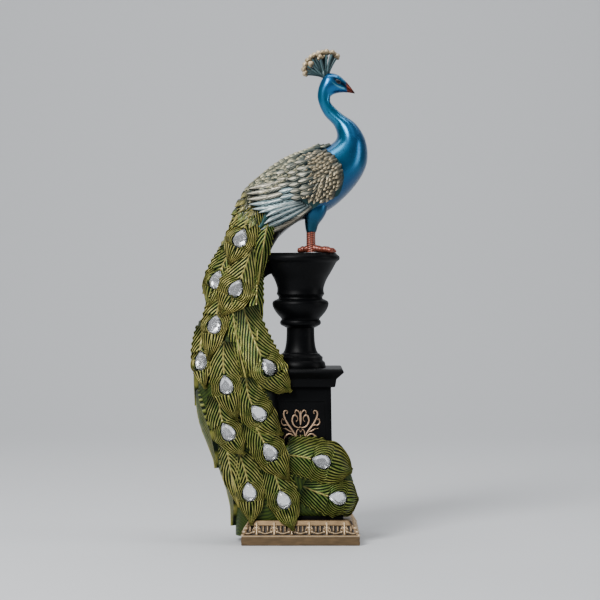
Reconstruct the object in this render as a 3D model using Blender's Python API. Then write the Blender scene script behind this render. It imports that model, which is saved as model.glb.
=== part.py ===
"""A peacock figurine: the bird stands on an urn, and its jewelled train falls to the plinth.

Bird, train, urn, pedestal and plinth are one casting, and pear crystals are glued into pockets in the train.
Metres, +Z up. The origin is the middle of the plinth's underside, the bird faces +X and the front is -Y.
"""

import math
from typing import NamedTuple

import bmesh
import bpy
import numpy as np
from mathutils import Vector
from mathutils.bvhtree import BVHTree

# Plinth: a square slab with a sloping moulding that carries a frieze of upright leaves
SLAB_WIDTH = 0.085
SLAB_HEIGHT = 0.007
SLOPE_HEIGHT = 0.0102
SLOPE_INSET = 0.0065
FRIEZE_LEAVES = 6
FRIEZE_RELIEF = 0.0007
FRIEZE_LEAF_HEIGHT = 0.0094
FRIEZE_LEAF_WIDTH = 0.0078
FRIEZE_BAR_HEIGHT = 0.0012
FRIEZE_CORNER = 0.0030

# Pedestal: foot moulding, tapered shaft with sunk panels, and a stepped cap
FOOT_WIDTH = 0.062
FOOT_HEIGHT = 0.008
SHAFT_WIDTH = 0.047
SHAFT_TOP_WIDTH = 0.0444
SHAFT_HEIGHT = 0.0955
PANEL_WIDTH = 0.0300
PANEL_DEPTH = 0.0009
PANEL_MARGIN = 0.0140
CAP_NECK_WIDTH = 0.0508
CAP_NECK_HEIGHT = 0.0058
CAP_WIDTH = 0.0626
CAP_HEIGHT = 0.0133
CAP_EDGE = 0.0025

# Scrollwork on the front panel
SCROLL_WIDTH = 0.0286
SCROLL_HEIGHT = 0.0330
SCROLL_BOTTOM = 0.0480
SCROLL_STROKE = 0.0011
SCROLL_RELIEF = 0.0007

# Urn, turned on the pedestal's axis
URN_HEIGHT = 0.0843
URN_FOOT_RADIUS = 0.0186
URN_NECK_RADIUS = 0.0102
URN_BOWL_RADIUS = 0.0208
URN_RIM_RADIUS = 0.0290
URN_SEGMENTS = 20
WEB_HEIGHT = 0.0150
WEB_THICKNESS = 0.0110
WEB_TOP_SHARE = 0.03
WEB_REACH = 0.10

# Bird and train: the pose is given in hundredths of the bird's height
BIRD_HEIGHT = 0.150
LEG_RADIUS = 0.0036
LEG_SPREAD = 0.0090
TOE_RADIUS = 0.0023
PLUME_RADIUS = 0.00165
FEATHER_RISE = 0.0021
FEATHER_CROWN = 0.0010
FEATHER_SINK = 0.0022
FEATHER_LIFT = 0.0010
FEATHER_ROOT_SHARE = 0.8
TIP_SHARE = 0.12
WRAP_SHARE = 0.8
ROOT_RISE = 0.45
WING_THICKNESS = 0.0022
CORE_FULLNESS = 2.5
SWEEP_FULLNESS = 3.0

# Pear crystals and the gap around each one in its pocket
GEM_LENGTH = 0.0140
GEM_WIDTH = 0.0100
GEM_HEIGHT = 0.0042
GEM_SEAT = 0.0014
GEM_GIRDLE = 0.0016
GEM_TABLE = 0.50
GEM_SIDES = 8
GLUE_GAP = 0.0003

# How far one form reaches into the next, so that the casting is whole
SINK = 0.0008
REACH = 0.30

# Neighbouring facets that lie flatter than this are merged, in degrees
FLAT_ANGLE = 5.0

# Sealed voids under this volume, in cubic metres, are filled as the resin fills them
PINHOLE = 1e-9

PLINTH_TOP = SLAB_HEIGHT + SLOPE_HEIGHT
SHAFT_TOP = PLINTH_TOP + SHAFT_HEIGHT
CAP_TOP = SHAFT_TOP + CAP_HEIGHT
STAND = CAP_TOP + URN_HEIGHT
DROP = STAND - PLINTH_TOP
UNIT = BIRD_HEIGHT / 100

FROM_FRONT = Vector((0, 1, 0))
FROM_BACK = Vector((0, -1, 0))
FROM_LEFT = Vector((1, 0, 0))
FROM_ABOVE = Vector((0.545, 0, -0.839)).normalized()


class Section(NamedTuple):
    """One section of the bird: its upper and lower edge in side view, and its half width."""

    back_x: float
    back_z: float
    front_x: float
    front_z: float
    half_width: float


class TrainSection(NamedTuple):
    """One section of the train: outer and inner edge, the middle's depth, and how far it swells each way."""

    outer_x: float
    outer_level: float
    inner_x: float
    inner_level: float
    middle_y: float
    swell_front: float
    swell_back: float


class SweepSection(NamedTuple):
    """One upright section of the part of the train that sweeps across the pedestal's front."""

    x: float
    top_level: float
    low_level: float
    middle_y: float
    swell_front: float
    swell_back: float


class LeafStyle(NamedTuple):
    """How a leaf is carved: how proud it stands, its dome, what reaches into its host, and its facets."""

    rise: float
    crown: float
    sink: float = 0.0018
    steps: int = 4
    widest: float = 0.58
    root_share: float = 0.5
    across: tuple = (-1.0, -0.4, 0.4, 1.0)
    ridged: bool = False
    fullness: float = 1.9
    wrap: float = WRAP_SHARE


class Feather(NamedTuple):
    """A train feather: root, eye and tip as seen from one side, half its width, and how it sits."""

    look: Vector
    root: tuple
    eye: tuple
    tip: tuple
    half_width: float
    jewelled: bool = True
    lift: float = 0.0
    fullness: float = 1.9
    wrap: float = WRAP_SHARE


# From beak tip to rump
BIRD_SECTIONS = [
    Section(26.6, 78.4, 26.5, 78.0, 0.3),
    Section(24.6, 81.2, 24.0, 78.4, 1.4),
    Section(21.9, 84.3, 20.6, 78.5, 2.9),
    Section(17.8, 87.4, 17.2, 78.0, 4.0),
    Section(12.8, 87.6, 15.0, 76.8, 4.2),
    Section(9.4, 82.6, 14.6, 75.4, 3.8),
    Section(8.4, 75.6, 15.2, 73.0, 3.5),
    Section(11.4, 68.0, 20.1, 68.3, 4.0),
    Section(16.8, 61.6, 27.4, 62.8, 6.1),
    Section(17.3, 55.4, 32.2, 54.0, 9.8),
    Section(9.6, 50.5, 32.2, 42.6, 13.6),
    Section(-3.7, 46.2, 25.3, 31.1, 16.3),
    Section(-17.1, 37.6, 13.0, 20.4, 17.0),
    Section(-27.2, 26.6, -1.7, 14.9, 15.8),
    Section(-33.0, 13.5, -12.0, 6.5, 13.8),
]

# From inside the rump down to the plinth. Levels run from 0 on the plinth to 100 on the urn.
TRAIN_SECTIONS = [
    TrainSection(-25.5, 122.0, -3.0, 114.0, 0, 14.0, 14.0),
    TrainSection(-34.0, 107.0, -14.5, 101.0, 0, 14.5, 14.5),
    TrainSection(-44.6, 87.0, -18.8, 86.0, 0, 14.5, 14.5),
    TrainSection(-48.6, 69.0, -18.0, 69.5, -4, 16.0, 14.5),
    TrainSection(-49.8, 53.0, -12.0, 54.0, -9, 16.0, 14.0),
    TrainSection(-47.6, 37.5, -9.5, 38.0, -9, 15.0, 14.0),
    TrainSection(-39.4, 21.5, -4.5, 21.0, -9, 15.5, 14.0),
    TrainSection(-32.6, 6.0, -2.0, 5.5, -8, 15.5, 13.0),
    TrainSection(-31.6, -6.6, -4.0, -4.6, -7, 14.0, 12.0),
]

# From the train across the pedestal's front to its right side
SWEEP_SECTIONS = [
    SweepSection(-16.0, 23.0, 4.0, -16, 6, 8),
    SweepSection(-5.0, 28.4, 1.6, -18.4, 4.6, 9),
    SweepSection(7.0, 28.6, 1.2, -19, 4.2, 10),
    SweepSection(17.0, 25.8, 1.4, -18.6, 3.8, 9),
    SweepSection(23.0, 19.4, 3.6, -16, 3.4, 7),
    SweepSection(25.6, 14.0, 8.4, -13, 2, 4),
]

# The crest's plumes: how far forward, up and aside each tip stands
CREST_TIPS = [
    (2.2, 88.6, -3),
    (2.6, 92.6, 3),
    (4.2, 95.4, -3),
    (6.6, 97.6, 2),
    (9.6, 98.9, -2),
    (13.0, 99.3, 2),
    (15.8, 98.9, -2),
    (18.2, 97.2, 1),
    (4.6, 90.2, 3),
    (6.4, 94.0, -3),
    (9.2, 95.8, 3),
    (12.2, 96.4, -2),
]

# Later rows lie over earlier ones
TRAIN_FEATHERS = [
    Feather(FROM_FRONT, (1.0, 13.0), (17.5, 8.4), (28.0, 7.4), 9.6, fullness=4.0),
    Feather(FROM_FRONT, (-6.0, 24.4), (9.7, 22.2), (25.0, 18.0), 10.2, lift=0.8, fullness=3.6),
    Feather(FROM_FRONT, (-13.6, 20.5), (-8.2, 8.1), (-3.4, -3.2), 8.0, lift=0.4),
    Feather(FROM_FRONT, (-29.5, 25.5), (-24.3, 11.0), (-23.4, -1.4), 7.4, lift=0.3),
    Feather(FROM_FRONT, (-23.0, 37.5), (-15.1, 25.8), (-5.6, 14.6), 8.2, lift=0.8),
    Feather(FROM_FRONT, (-38.4, 46.0), (-35.1, 33.3), (-26.4, 24.8), 7.6, lift=0.4),
    Feather(FROM_FRONT, (-26.0, 53.5), (-20.7, 40.2), (-8.6, 31.8), 8.4, lift=0.8),
    Feather(FROM_FRONT, (-36.4, 67.0), (-35.6, 50.9), (-30.4, 37.4), 7.6, lift=0.8),
    Feather(FROM_FRONT, (-46.2, 72.0), (-47.4, 59.5), (-45.2, 49.0), 5.0, lift=0.4),
    Feather(FROM_FRONT, (-21.0, 94.0), (-22.0, 81.0), (-21.6, 67.0), 3.8, False),
    Feather(FROM_FRONT, (-28.0, 79.0), (-16.3, 56.8), (-5.2, 47.6), 8.8, lift=1.0, wrap=0.35),
    Feather(FROM_FRONT, (-36.6, 85.0), (-41.1, 73.1), (-43.8, 59.5), 6.8, lift=0.8),
    Feather(FROM_FRONT, (-33.0, 101.0), (-40.0, 89.7), (-44.4, 79.0), 6.8, lift=0.4),
    Feather(FROM_FRONT, (-15.5, 113.0), (-18.6, 102.0), (-21.2, 88.0), 4.2, False, 0.4),
    Feather(FROM_FRONT, (-23.4, 102.0), (-31.2, 86.4), (-38.8, 76.0), 9.0, lift=1.4),
    Feather(FROM_FRONT, (-22.0, 118.0), (-28.6, 105.4), (-34.0, 95.4), 7.6, lift=1.6),
    Feather(FROM_FRONT, (-36.0, 37.0), (-33.5, 21.5), (-29.0, 5.0), 5.2, False),
]

# Seen from the outer side and the back, plainer and partly without crystals
HIDDEN_FEATHERS = [
    Feather(FROM_LEFT, (0.0, 122.0), (0.0, 110.0), (0.0, 97.0), 11.0, False),
    Feather(FROM_LEFT, (-8.0, 24.0), (-9.0, 10.0), (-9.0, -3.0), 10.0, False),
    Feather(FROM_LEFT, (-7.0, 47.0), (-10.0, 33.0), (-11.0, 19.0), 11.0, False, 0.6),
    Feather(FROM_LEFT, (-2.0, 74.0), (-4.0, 59.0), (-6.0, 42.0), 9.0, True, 1.0),
    Feather(FROM_LEFT, (0.0, 107.0), (0.0, 96.0), (0.0, 84.0), 7.6, True, 1.0),
    Feather(FROM_BACK, (-29.0, 26.0), (-26.0, 13.0), (-23.0, 1.4), 7.6, False, 0.0),
    Feather(FROM_BACK, (-16.0, 24.0), (-12.0, 12.0), (-9.0, 1.2), 6.0, False, 0.0),
    Feather(FROM_BACK, (-38.0, 42.0), (-34.0, 28.0), (-30.0, 15.0), 7.6, False, 0.4),
    Feather(FROM_BACK, (-24.0, 46.0), (-20.0, 32.0), (-16.0, 18.0), 7.6, True, 0.6),
    Feather(FROM_BACK, (-41.0, 62.0), (-39.0, 47.0), (-35.0, 34.0), 7.4, True, 0.8),
    Feather(FROM_BACK, (-27.0, 68.0), (-25.0, 53.0), (-20.0, 39.0), 7.8, False, 1.0),
    Feather(FROM_BACK, (-37.0, 84.0), (-39.0, 69.0), (-38.0, 56.0), 7.4, False, 1.2),
    Feather(FROM_BACK, (-24.0, 96.0), (-28.0, 79.0), (-27.0, 63.0), 8.0, True, 1.4),
    Feather(FROM_BACK, (-28.0, 108.0), (-36.0, 94.0), (-39.0, 80.0), 7.2, True, 1.6),
    Feather(FROM_BACK, (-20.0, 120.0), (-26.0, 108.0), (-30.0, 95.0), 8.0, False, 1.8),
]


def finish(name, colour, roughness, metallic=0.0, clearness=0.0):
    """A plain Principled finish."""
    material = bpy.data.materials.new(name)
    material.use_nodes = True
    shader = material.node_tree.nodes["Principled BSDF"]
    shader.inputs["Base Color"].default_value = (*colour, 1.0)
    shader.inputs["Roughness"].default_value = roughness
    shader.inputs["Metallic"].default_value = metallic
    shader.inputs["Transmission Weight"].default_value = clearness
    material.diffuse_color = (*colour, 1.0)
    return material


def start_empty():
    """Remove every object and material that the file starts with."""
    for thing in list(bpy.data.objects):
        bpy.data.objects.remove(thing, do_unlink=True)
    for material in list(bpy.data.materials):
        bpy.data.materials.remove(material)


def collection(name):
    """A new collection in the scene."""
    made = bpy.data.collections.new(name)
    bpy.context.scene.collection.children.link(made)
    return made


def solid(name, rings, material, home, smooth=True):
    """A closed solid lofted through rings of equal length, with flat ends."""
    shape = bmesh.new()
    rows = [[shape.verts.new(point) for point in ring] for ring in rings]
    count = len(rings[0])
    for near, far in zip(rows, rows[1:]):
        for i in range(count):
            j = (i + 1) % count
            shape.faces.new((near[i], near[j], far[j], far[i]))
    shape.faces.new(rows[0][::-1])
    shape.faces.new(rows[-1])
    bmesh.ops.recalc_face_normals(shape, faces=shape.faces)
    mesh = bpy.data.meshes.new(name)
    shape.to_mesh(mesh)
    shape.free()
    if smooth:
        mesh.shade_smooth()
        mesh.set_sharp_from_angle(angle=math.radians(40))
    mesh.materials.append(material)
    made = bpy.data.objects.new(name, mesh)
    home.objects.link(made)
    return made


def hide(made):
    """Mark an object as a guide that only feeds a Boolean."""
    made.hide_render = True
    made.display_type = "WIRE"
    return made


def square(width, height):
    """A square ring at a height."""
    half = width / 2
    return [(half, half, height), (-half, half, height), (-half, -half, height), (half, -half, height)]


def circle(centre, radius, segments, along, across):
    """A ring of points about a centre, in the plane of two directions."""
    turns = [2 * math.pi * i / segments for i in range(segments)]
    return [centre + (along * math.cos(a) + across * math.sin(a)) * radius for a in turns]


def smooth_rows(rows, steps):
    """Rows of numbers with a smooth curve through them, several steps for each row."""
    values = np.array(rows, float)
    last = len(values) - 1
    made = []
    for k in range(last * steps + 1):
        i = min(k // steps, last - 1)
        f = k / steps - i
        p0, p1, p2, p3 = (values[min(max(i + j, 0), last)] for j in (-1, 0, 1, 2))
        curve = 2 * p1 + (p2 - p0) * f + (2 * p0 - 5 * p1 + 4 * p2 - p3) * f**2
        made.append(0.5 * (curve + (3 * p1 - p0 - 3 * p2 + p3) * f**3))
    return made


def on_bird(x, z, y=0.0):
    """A point of the bird, in hundredths of its height above the stand."""
    return Vector((x * UNIT, y * UNIT, STAND + z * UNIT))


def on_train(x, level, y=0.0):
    """A point of the train: sideways in hundredths of the bird's height, and a level over the plinth."""
    return Vector((x * UNIT, y * UNIT, PLINTH_TOP + level * DROP / 100))


def bird_rings(sides=14, steps=2):
    """The rings of beak, head, neck, body and rump."""
    rings = []
    for row in smooth_rows(BIRD_SECTIONS, steps):
        upper = on_bird(row[0], row[1])
        lower = on_bird(row[2], row[3])
        width = Vector((0, row[4] * UNIT, 0))
        rings.append(oval((upper + lower) / 2, (upper - lower) / 2, width, width, sides, 2.0))
    return rings


def oval(centre, first, second, third, sides, fullness):
    """A ring about a centre, an ellipse at fullness 2, with its own swell to each side of its first axis."""
    ring = []
    for i in range(sides):
        turn = 2 * math.pi * i / sides
        along = math.copysign(abs(math.cos(turn)) ** (2 / fullness), math.cos(turn))
        aside = math.copysign(abs(math.sin(turn)) ** (2 / fullness), math.sin(turn))
        ring.append(centre + first * along + (second if aside >= 0 else third) * aside)
    return ring


def train_rings(sides=12, steps=2):
    """The rings of the train's core."""
    rings = []
    for row in smooth_rows(TRAIN_SECTIONS, steps):
        outer = on_train(row[0], row[1], row[4])
        inner = on_train(row[2], row[3], row[4])
        front = Vector((0, -row[5] * UNIT, 0))
        back = Vector((0, -row[6] * UNIT, 0))
        rings.append(oval((outer + inner) / 2, (inner - outer) / 2, front, back, sides, CORE_FULLNESS))
    return rings


def sweep_rings(sides=10, steps=1):
    """The rings of the train's sweep across the pedestal."""
    rings = []
    for row in smooth_rows(SWEEP_SECTIONS, steps):
        top = on_train(row[0], row[1], row[3])
        low = on_train(row[0], row[2], row[3])
        front = Vector((0, -row[4] * UNIT, 0))
        back = Vector((0, -row[5] * UNIT, 0))
        rings.append(oval((top + low) / 2, (top - low) / 2, front, back, sides, SWEEP_FULLNESS))
    return rings


def surface_of(*objects):
    """A search tree over the faces of several objects."""
    points, faces = [], []
    for made in objects:
        start = len(points)
        points += [vertex.co.copy() for vertex in made.data.vertices]
        faces += [[start + i for i in face.vertices] for face in made.data.polygons]
    return BVHTree.FromPolygons(points, faces)


def through(root, eye, tip, share):
    """A smooth path from root to tip that passes the eye at a share of its length."""
    control = (eye - root * (1 - share) ** 2 - tip * share**2) / (2 * share * (1 - share))
    return lambda t: root * (1 - t) ** 2 + control * 2 * t * (1 - t) + tip * t**2


def leaf_width(t, style):
    """The outline of a leaf: full at its widest place and narrow at its tip."""
    if t < style.widest:
        return style.root_share + (1 - style.root_share) * math.sin(math.pi / 2 * t / style.widest)
    return max(1 - ((t - style.widest) / (1 - style.widest)) ** style.fullness, TIP_SHARE)


def touch(host, point, look, fallback):
    """Where a straight look meets the host, no deeper than the fallback."""
    start = point - look * (point.dot(look) + REACH)
    hit = host.ray_cast(start, look)[0]
    depth = fallback if hit is None else min(hit.dot(look), fallback)
    return point + look * (depth - point.dot(look))


def leaf(name, material, home, host, look, spine, half_width, style):
    """A domed leaf laid on a host, thin at its root and proud at its tip.

    Returns the line along its top and the way that it faces.
    """
    root, eye, tip = spine
    path = through(root, eye, tip, style.widest)
    start = eye - look * (eye.dot(look) + REACH)
    hit, normal = host.ray_cast(start, look)[:2]
    if hit is None:
        raise ValueError(name + " misses the form that it lies on")
    limit = hit.dot(look) + half_width * style.wrap
    up = (normal - look).normalized()
    rings, crest_line = [], []
    for k in range(style.steps + 1):
        t = k / style.steps
        ahead = (path(min(t + 0.01, 1)) - path(max(t - 0.01, 0))).normalized()
        side = look.cross(ahead).normalized() * half_width * leaf_width(t, style)
        lift = style.rise * (ROOT_RISE + (1 - ROOT_RISE) * t)
        places = [touch(host, path(t) + side * s, look, limit) for s in style.across]
        low = [places[-1] - up * style.sink, places[0] - up * style.sink]
        middle = touch(host, path(t), look, limit) + up * (lift + style.crown)
        if style.ridged:
            rings.append([middle, *low])
        else:
            top = [place + up * (lift + style.crown * (1 - s * s)) for place, s in zip(places, style.across)]
            rings.append(top + low)
        crest_line.append(middle)
    hide(solid(name, rings, material, home))
    return crest_line, up


def pear(length, width, sides):
    """A pear outline: pointed at its start, round at its far end."""
    outline = []
    widest = max(math.sin(a) * math.sin(a / 2) ** 0.7 for a in np.linspace(0, math.pi, 60))
    for i in range(sides):
        turn = 2 * math.pi * i / sides
        reach = math.sin(turn) * abs(math.sin(turn / 2)) ** 0.7 / widest
        outline.append((-length / 2 * math.cos(turn), width / 2 * reach))
    return outline


def gem_rings(centre, ahead, up, grow, levels):
    """Rings of the pear outline at several heights and scales about a seat."""
    side = up.cross(ahead).normalized()
    outline = pear(GEM_LENGTH + 2 * grow, GEM_WIDTH + 2 * grow, GEM_SIDES)
    return [[centre + up * z + (ahead * a + side * b) * s for a, b in outline] for z, s in levels]


def set_gem(index, middle, up, share, crystal, green, nodes, pockets):
    """A faceted pear crystal in its pocket, at a share of a feather's length."""
    place = share * (len(middle) - 1)
    first = int(place)
    centre = middle[first].lerp(middle[first + 1], place - first)
    ahead = (middle[first + 1] - middle[first]).normalized()
    up = (up - ahead * up.dot(ahead)).normalized()
    levels = [
        (-GEM_SEAT, 1.0),
        (-GEM_SEAT + GEM_GIRDLE, 1.0),
        (-GEM_SEAT + GEM_HEIGHT, GEM_TABLE),
    ]
    name = f"gem_{index:02d}"
    solid(name, gem_rings(centre, ahead, up, 0.0, levels), crystal, nodes, smooth=False)
    deep = [(-GEM_SEAT - GLUE_GAP, 1.0), (GEM_HEIGHT * 3, 1.0)]
    hide(solid(f"{name}_pocket", gem_rings(centre, ahead, up, GLUE_GAP, deep), green, pockets, False))


def frieze(forms, gold):
    """Upright leaves and a bar on each of the plinth's sloping faces."""
    slope = Vector((0, SLOPE_INSET, SLOPE_HEIGHT)).normalized()
    outward = Vector((0, -SLOPE_HEIGHT, SLOPE_INSET)).normalized()
    foot = Vector((0, -SLAB_WIDTH / 2, SLAB_HEIGHT))
    pitch = (SLAB_WIDTH - SLOPE_INSET - FRIEZE_CORNER) / FRIEZE_LEAVES
    for turn in range(4):
        for i in range(FRIEZE_LEAVES):
            across = (i - (FRIEZE_LEAVES - 1) / 2) * pitch
            frieze_leaf(f"frieze_leaf_{turn}_{i}", foot, slope, outward, across, turn, gold, forms)
        frieze_bar(f"frieze_bar_{turn}", foot, slope, outward, turn, gold, forms)


def turned_about(points, turn):
    """Points turned about the axis by quarters."""
    c = (1, 0, -1, 0)[turn]
    s = (0, 1, 0, -1)[turn]
    return [Vector((p.x * c - p.y * s, p.x * s + p.y * c, p.z)) for p in points]


def frieze_leaf(name, foot, slope, outward, across, turn, gold, forms):
    """One upright palmette: a low pointed leaf on the sloping face."""
    half = FRIEZE_LEAF_WIDTH / 2
    outline = [(half * 0.5, 0.0), (half, 0.45), (0, 1), (-half, 0.45), (-half * 0.5, 0.0)]
    rings = []
    for depth, scale in ((-SINK, 1.1), (FRIEZE_RELIEF * 1.8, 0.4)):
        ring = []
        for u, v in outline:
            rise = (0.5 + (v - 0.5) * scale) * FRIEZE_LEAF_HEIGHT
            ring.append(foot + slope * rise + Vector((across + u * scale, 0, 0)) + outward * depth)
        rings.append(turned_about(ring, turn))
    hide(solid(name, rings, gold, forms, smooth=False))


def frieze_bar(name, foot, slope, outward, turn, gold, forms):
    """The raised bar along the lower edge of one sloping face."""
    rings = []
    for end in (-1, 1):
        ring = []
        for depth, height in ((-SINK, 0.3), (FRIEZE_RELIEF, 0.3), (FRIEZE_RELIEF, 1.3), (-SINK, 1.3)):
            rise = slope * height * FRIEZE_BAR_HEIGHT
            reach = SLAB_WIDTH / 2 - SLOPE_INSET * height * FRIEZE_BAR_HEIGHT / SLOPE_HEIGHT - SINK
            ring.append(foot + rise + outward * depth + Vector((end * reach, 0, 0)))
        rings.append(turned_about(ring, turn))
    hide(solid(name, rings, gold, forms, smooth=False))


def pedestal(forms, black):
    """Foot moulding and shaft, and the stepped cap, which are returned."""
    foot_step = (FOOT_WIDTH - SHAFT_WIDTH) / 2
    foot_top = PLINTH_TOP + FOOT_HEIGHT
    rings = [
        square(FOOT_WIDTH, PLINTH_TOP - SINK),
        square(FOOT_WIDTH, foot_top - foot_step * 0.7),
        square(SHAFT_WIDTH + foot_step * 0.5, foot_top),
        square(SHAFT_WIDTH, foot_top + SINK),
        square(SHAFT_TOP_WIDTH, SHAFT_TOP + SINK),
    ]
    shaft = hide(solid("pedestal_shaft", rings, black, forms, smooth=False))
    slope_foot = SHAFT_TOP + CAP_NECK_HEIGHT
    rings = [
        square(CAP_NECK_WIDTH, SHAFT_TOP),
        square(CAP_NECK_WIDTH + CAP_EDGE * 0.5, slope_foot),
        square((CAP_NECK_WIDTH + CAP_WIDTH) / 2, slope_foot + (CAP_HEIGHT - CAP_NECK_HEIGHT) * 0.3),
        square(CAP_WIDTH, CAP_TOP - CAP_EDGE),
        square(CAP_WIDTH - CAP_EDGE * 0.3, CAP_TOP - CAP_EDGE * 0.3),
        square(CAP_WIDTH - CAP_EDGE, CAP_TOP),
    ]
    return shaft, hide(solid("pedestal_cap", rings, black, forms, smooth=False))


def panel_cutters(cutters, black):
    """Sunk panels on the four faces of the shaft."""
    lean = (SHAFT_WIDTH - SHAFT_TOP_WIDTH) / 2 / SHAFT_HEIGHT
    low = PLINTH_TOP + FOOT_HEIGHT + PANEL_MARGIN
    high = SHAFT_TOP - PANEL_MARGIN
    for turn in range(4):
        rings = []
        for z in (low, high):
            face = -SHAFT_WIDTH / 2 + lean * (z - PLINTH_TOP)
            deep, clear = face + PANEL_DEPTH, face - SHAFT_WIDTH / 2
            half = PANEL_WIDTH / 2
            corners = ((-half, deep), (half, deep), (half, clear), (-half, clear))
            rings.append(turned_about([Vector((x, y, z)) for x, y in corners], turn))
        hide(solid(f"panel_cutter_{turn}", rings, black, cutters, smooth=False))


def urn_profile():
    """The urn's turned outline from foot to rim, as radius and height above the cap."""
    bowl, neck, foot, rim = URN_BOWL_RADIUS, URN_NECK_RADIUS, URN_FOOT_RADIUS, URN_RIM_RADIUS
    lower = [
        (foot, 0.0),
        (foot * 0.97, 0.045),
        (foot * 0.88, 0.062),
        (foot * 0.88, 0.092),
        (foot * 0.79, 0.108),
    ]
    cavetto = []
    for k in range(1, 4):
        turn = math.pi / 2 * k / 4
        flare = (foot * 0.76 - neck) * (1 - math.sin(turn)) ** 1.3
        cavetto.append((neck + flare, 0.12 + 0.23 * (1 - math.cos(turn))))
    upper = [
        (neck, 0.345),
        (neck * 1.22, 0.358),
        (neck * 1.46, 0.392),
        (neck * 1.42, 0.425),
        (bowl * 0.97, 0.525),
        (bowl, 0.560),
        (bowl * 0.93, 0.585),
        (bowl * 0.77, 0.605),
        (bowl * 0.84, 0.640),
        (bowl * 0.82, 0.690),
        (bowl * 0.92, 0.765),
        (rim * 0.776, 0.834),
        (rim * 0.91, 0.920),
        (rim, 0.955),
        (rim * 0.90, 1.0),
    ]
    return [(radius, share * URN_HEIGHT) for radius, share in lower + cavetto + upper]


def urn(forms, black):
    """The turned urn, and the web that joins its rim to the train."""
    x_axis, y_axis = Vector((1, 0, 0)), Vector((0, 1, 0))
    rings = [circle(Vector((0, 0, CAP_TOP - SINK)), URN_FOOT_RADIUS, URN_SEGMENTS, x_axis, y_axis)]
    for radius, height in urn_profile()[1:]:
        rings.append(circle(Vector((0, 0, CAP_TOP + height)), radius, URN_SEGMENTS, x_axis, y_axis))
    hide(solid("urn", rings, black, forms))
    inner = TRAIN_SECTIONS[2].inner_x * UNIT - WEB_REACH * BIRD_HEIGHT
    high = STAND - WEB_TOP_SHARE * URN_HEIGHT
    low = high - WEB_HEIGHT
    rim = URN_RIM_RADIUS
    outline = [
        (inner, high),
        (inner, low - WEB_HEIGHT * 0.9),
        (-rim * 0.98, low - WEB_HEIGHT * 0.15),
        (-rim * 0.88, low),
        (-rim * 0.6, low + WEB_HEIGHT * 0.1),
        (-rim * 0.6, high),
    ]
    half = WEB_THICKNESS / 2
    rings = [[Vector((x, y, z)) for x, z in outline] for y in (-half, half)]
    hide(solid("rim_web", rings, black, forms, smooth=False))


def spiral(centre, start, turns, steps, shrink):
    """Points of a scroll that winds in about a centre."""
    arm = Vector(start) - Vector(centre)
    points = []
    for k in range(steps + 1):
        share = k / steps
        angle = 2 * math.pi * turns * share
        size = 1 - (1 - shrink) * share
        x = (arm.x * math.cos(angle) - arm.y * math.sin(angle)) * size
        y = (arm.x * math.sin(angle) + arm.y * math.cos(angle)) * size
        points.append((centre[0] + x, centre[1] + y))
    return points


def scroll_strokes():
    """The scrollwork's right half, in shares of its half width and height, from its foot."""
    return [
        [(0.0, 0.42), (0.0, 0.64), (0.0, 0.78)],
        [(0.0, 0.36), (0.10, 0.50), (0.22, 0.55), (0.16, 0.62), (0.04, 0.60)],
        [(0.0, 0.66), (0.14, 0.70), *spiral((0.34, 0.74), (0.50, 0.74), 0.62, 4, 0.45)],
        [(0.04, 0.80), (0.12, 0.90), *spiral((0.26, 0.94), (0.20, 0.99), -0.6, 3, 0.5)],
        [(0.10, 0.38), (0.42, 0.60), (0.74, 0.78), *spiral((0.82, 0.92), (0.92, 0.86), 0.6, 3, 0.45)],
        [(0.62, 0.67), (0.84, 0.72), (0.97, 0.64)],
        [(0.06, 0.24), (0.30, 0.44), (0.60, 0.54), *spiral((0.62, 0.30), (0.96, 0.38), -0.7, 5, 0.35)],
    ]


def scrollwork(forms, gold):
    """Raised strokes on the front panel, the same to the left and right."""
    lean = (SHAFT_WIDTH - SHAFT_TOP_WIDTH) / 2 / SHAFT_HEIGHT
    for number, stroke in enumerate(scroll_strokes()):
        for hand in (-1, 1):
            if number == 0 and hand < 0:
                continue
            points = []
            for u, v in stroke:
                z = PLINTH_TOP + SCROLL_BOTTOM + v * SCROLL_HEIGHT
                face = -SHAFT_WIDTH / 2 + lean * (z - PLINTH_TOP) + PANEL_DEPTH
                points.append(Vector((hand * u * SCROLL_WIDTH / 2, face, z)))
            ridge(f"scroll_{number}_{hand}", points, gold, forms)


def ridge(name, points, gold, forms):
    """A raised stroke with a sharp crest along points on the panel."""
    rings = []
    for i, point in enumerate(points):
        ahead = (points[min(i + 1, len(points) - 1)] - points[max(i - 1, 0)]).normalized()
        side = ahead.cross(Vector((0, 1, 0))).normalized() * SCROLL_STROKE / 2
        fade = 0.55 if i in (0, len(points) - 1) else 1.0
        rise = Vector((0, -SCROLL_RELIEF, 0))
        rings.append([point + side * fade - rise, point + rise * fade, point - side * fade - rise])
    hide(solid(name, rings, gold, forms, smooth=False))


def tube(name, material, home, points, radii, sides, flat=1.0):
    """A tapering limb through points, with an oval section if it is flattened in height."""
    rings = []
    for i, point in enumerate(points):
        ahead = (points[min(i + 1, len(points) - 1)] - points[max(i - 1, 0)]).normalized()
        across = ahead.cross(Vector((0, 1, 0)))
        if across.length < 0.1:
            across = ahead.cross(Vector((0, 0, 1)))
        across.normalize()
        upward = ahead.cross(across).normalized()
        ring = [
            point + (across * math.cos(a) * flat + upward * math.sin(a)) * radii[i]
            for a in (2 * math.pi * k / sides for k in range(sides))
        ]
        rings.append(ring)
    return hide(solid(name, rings, material, home))


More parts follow.
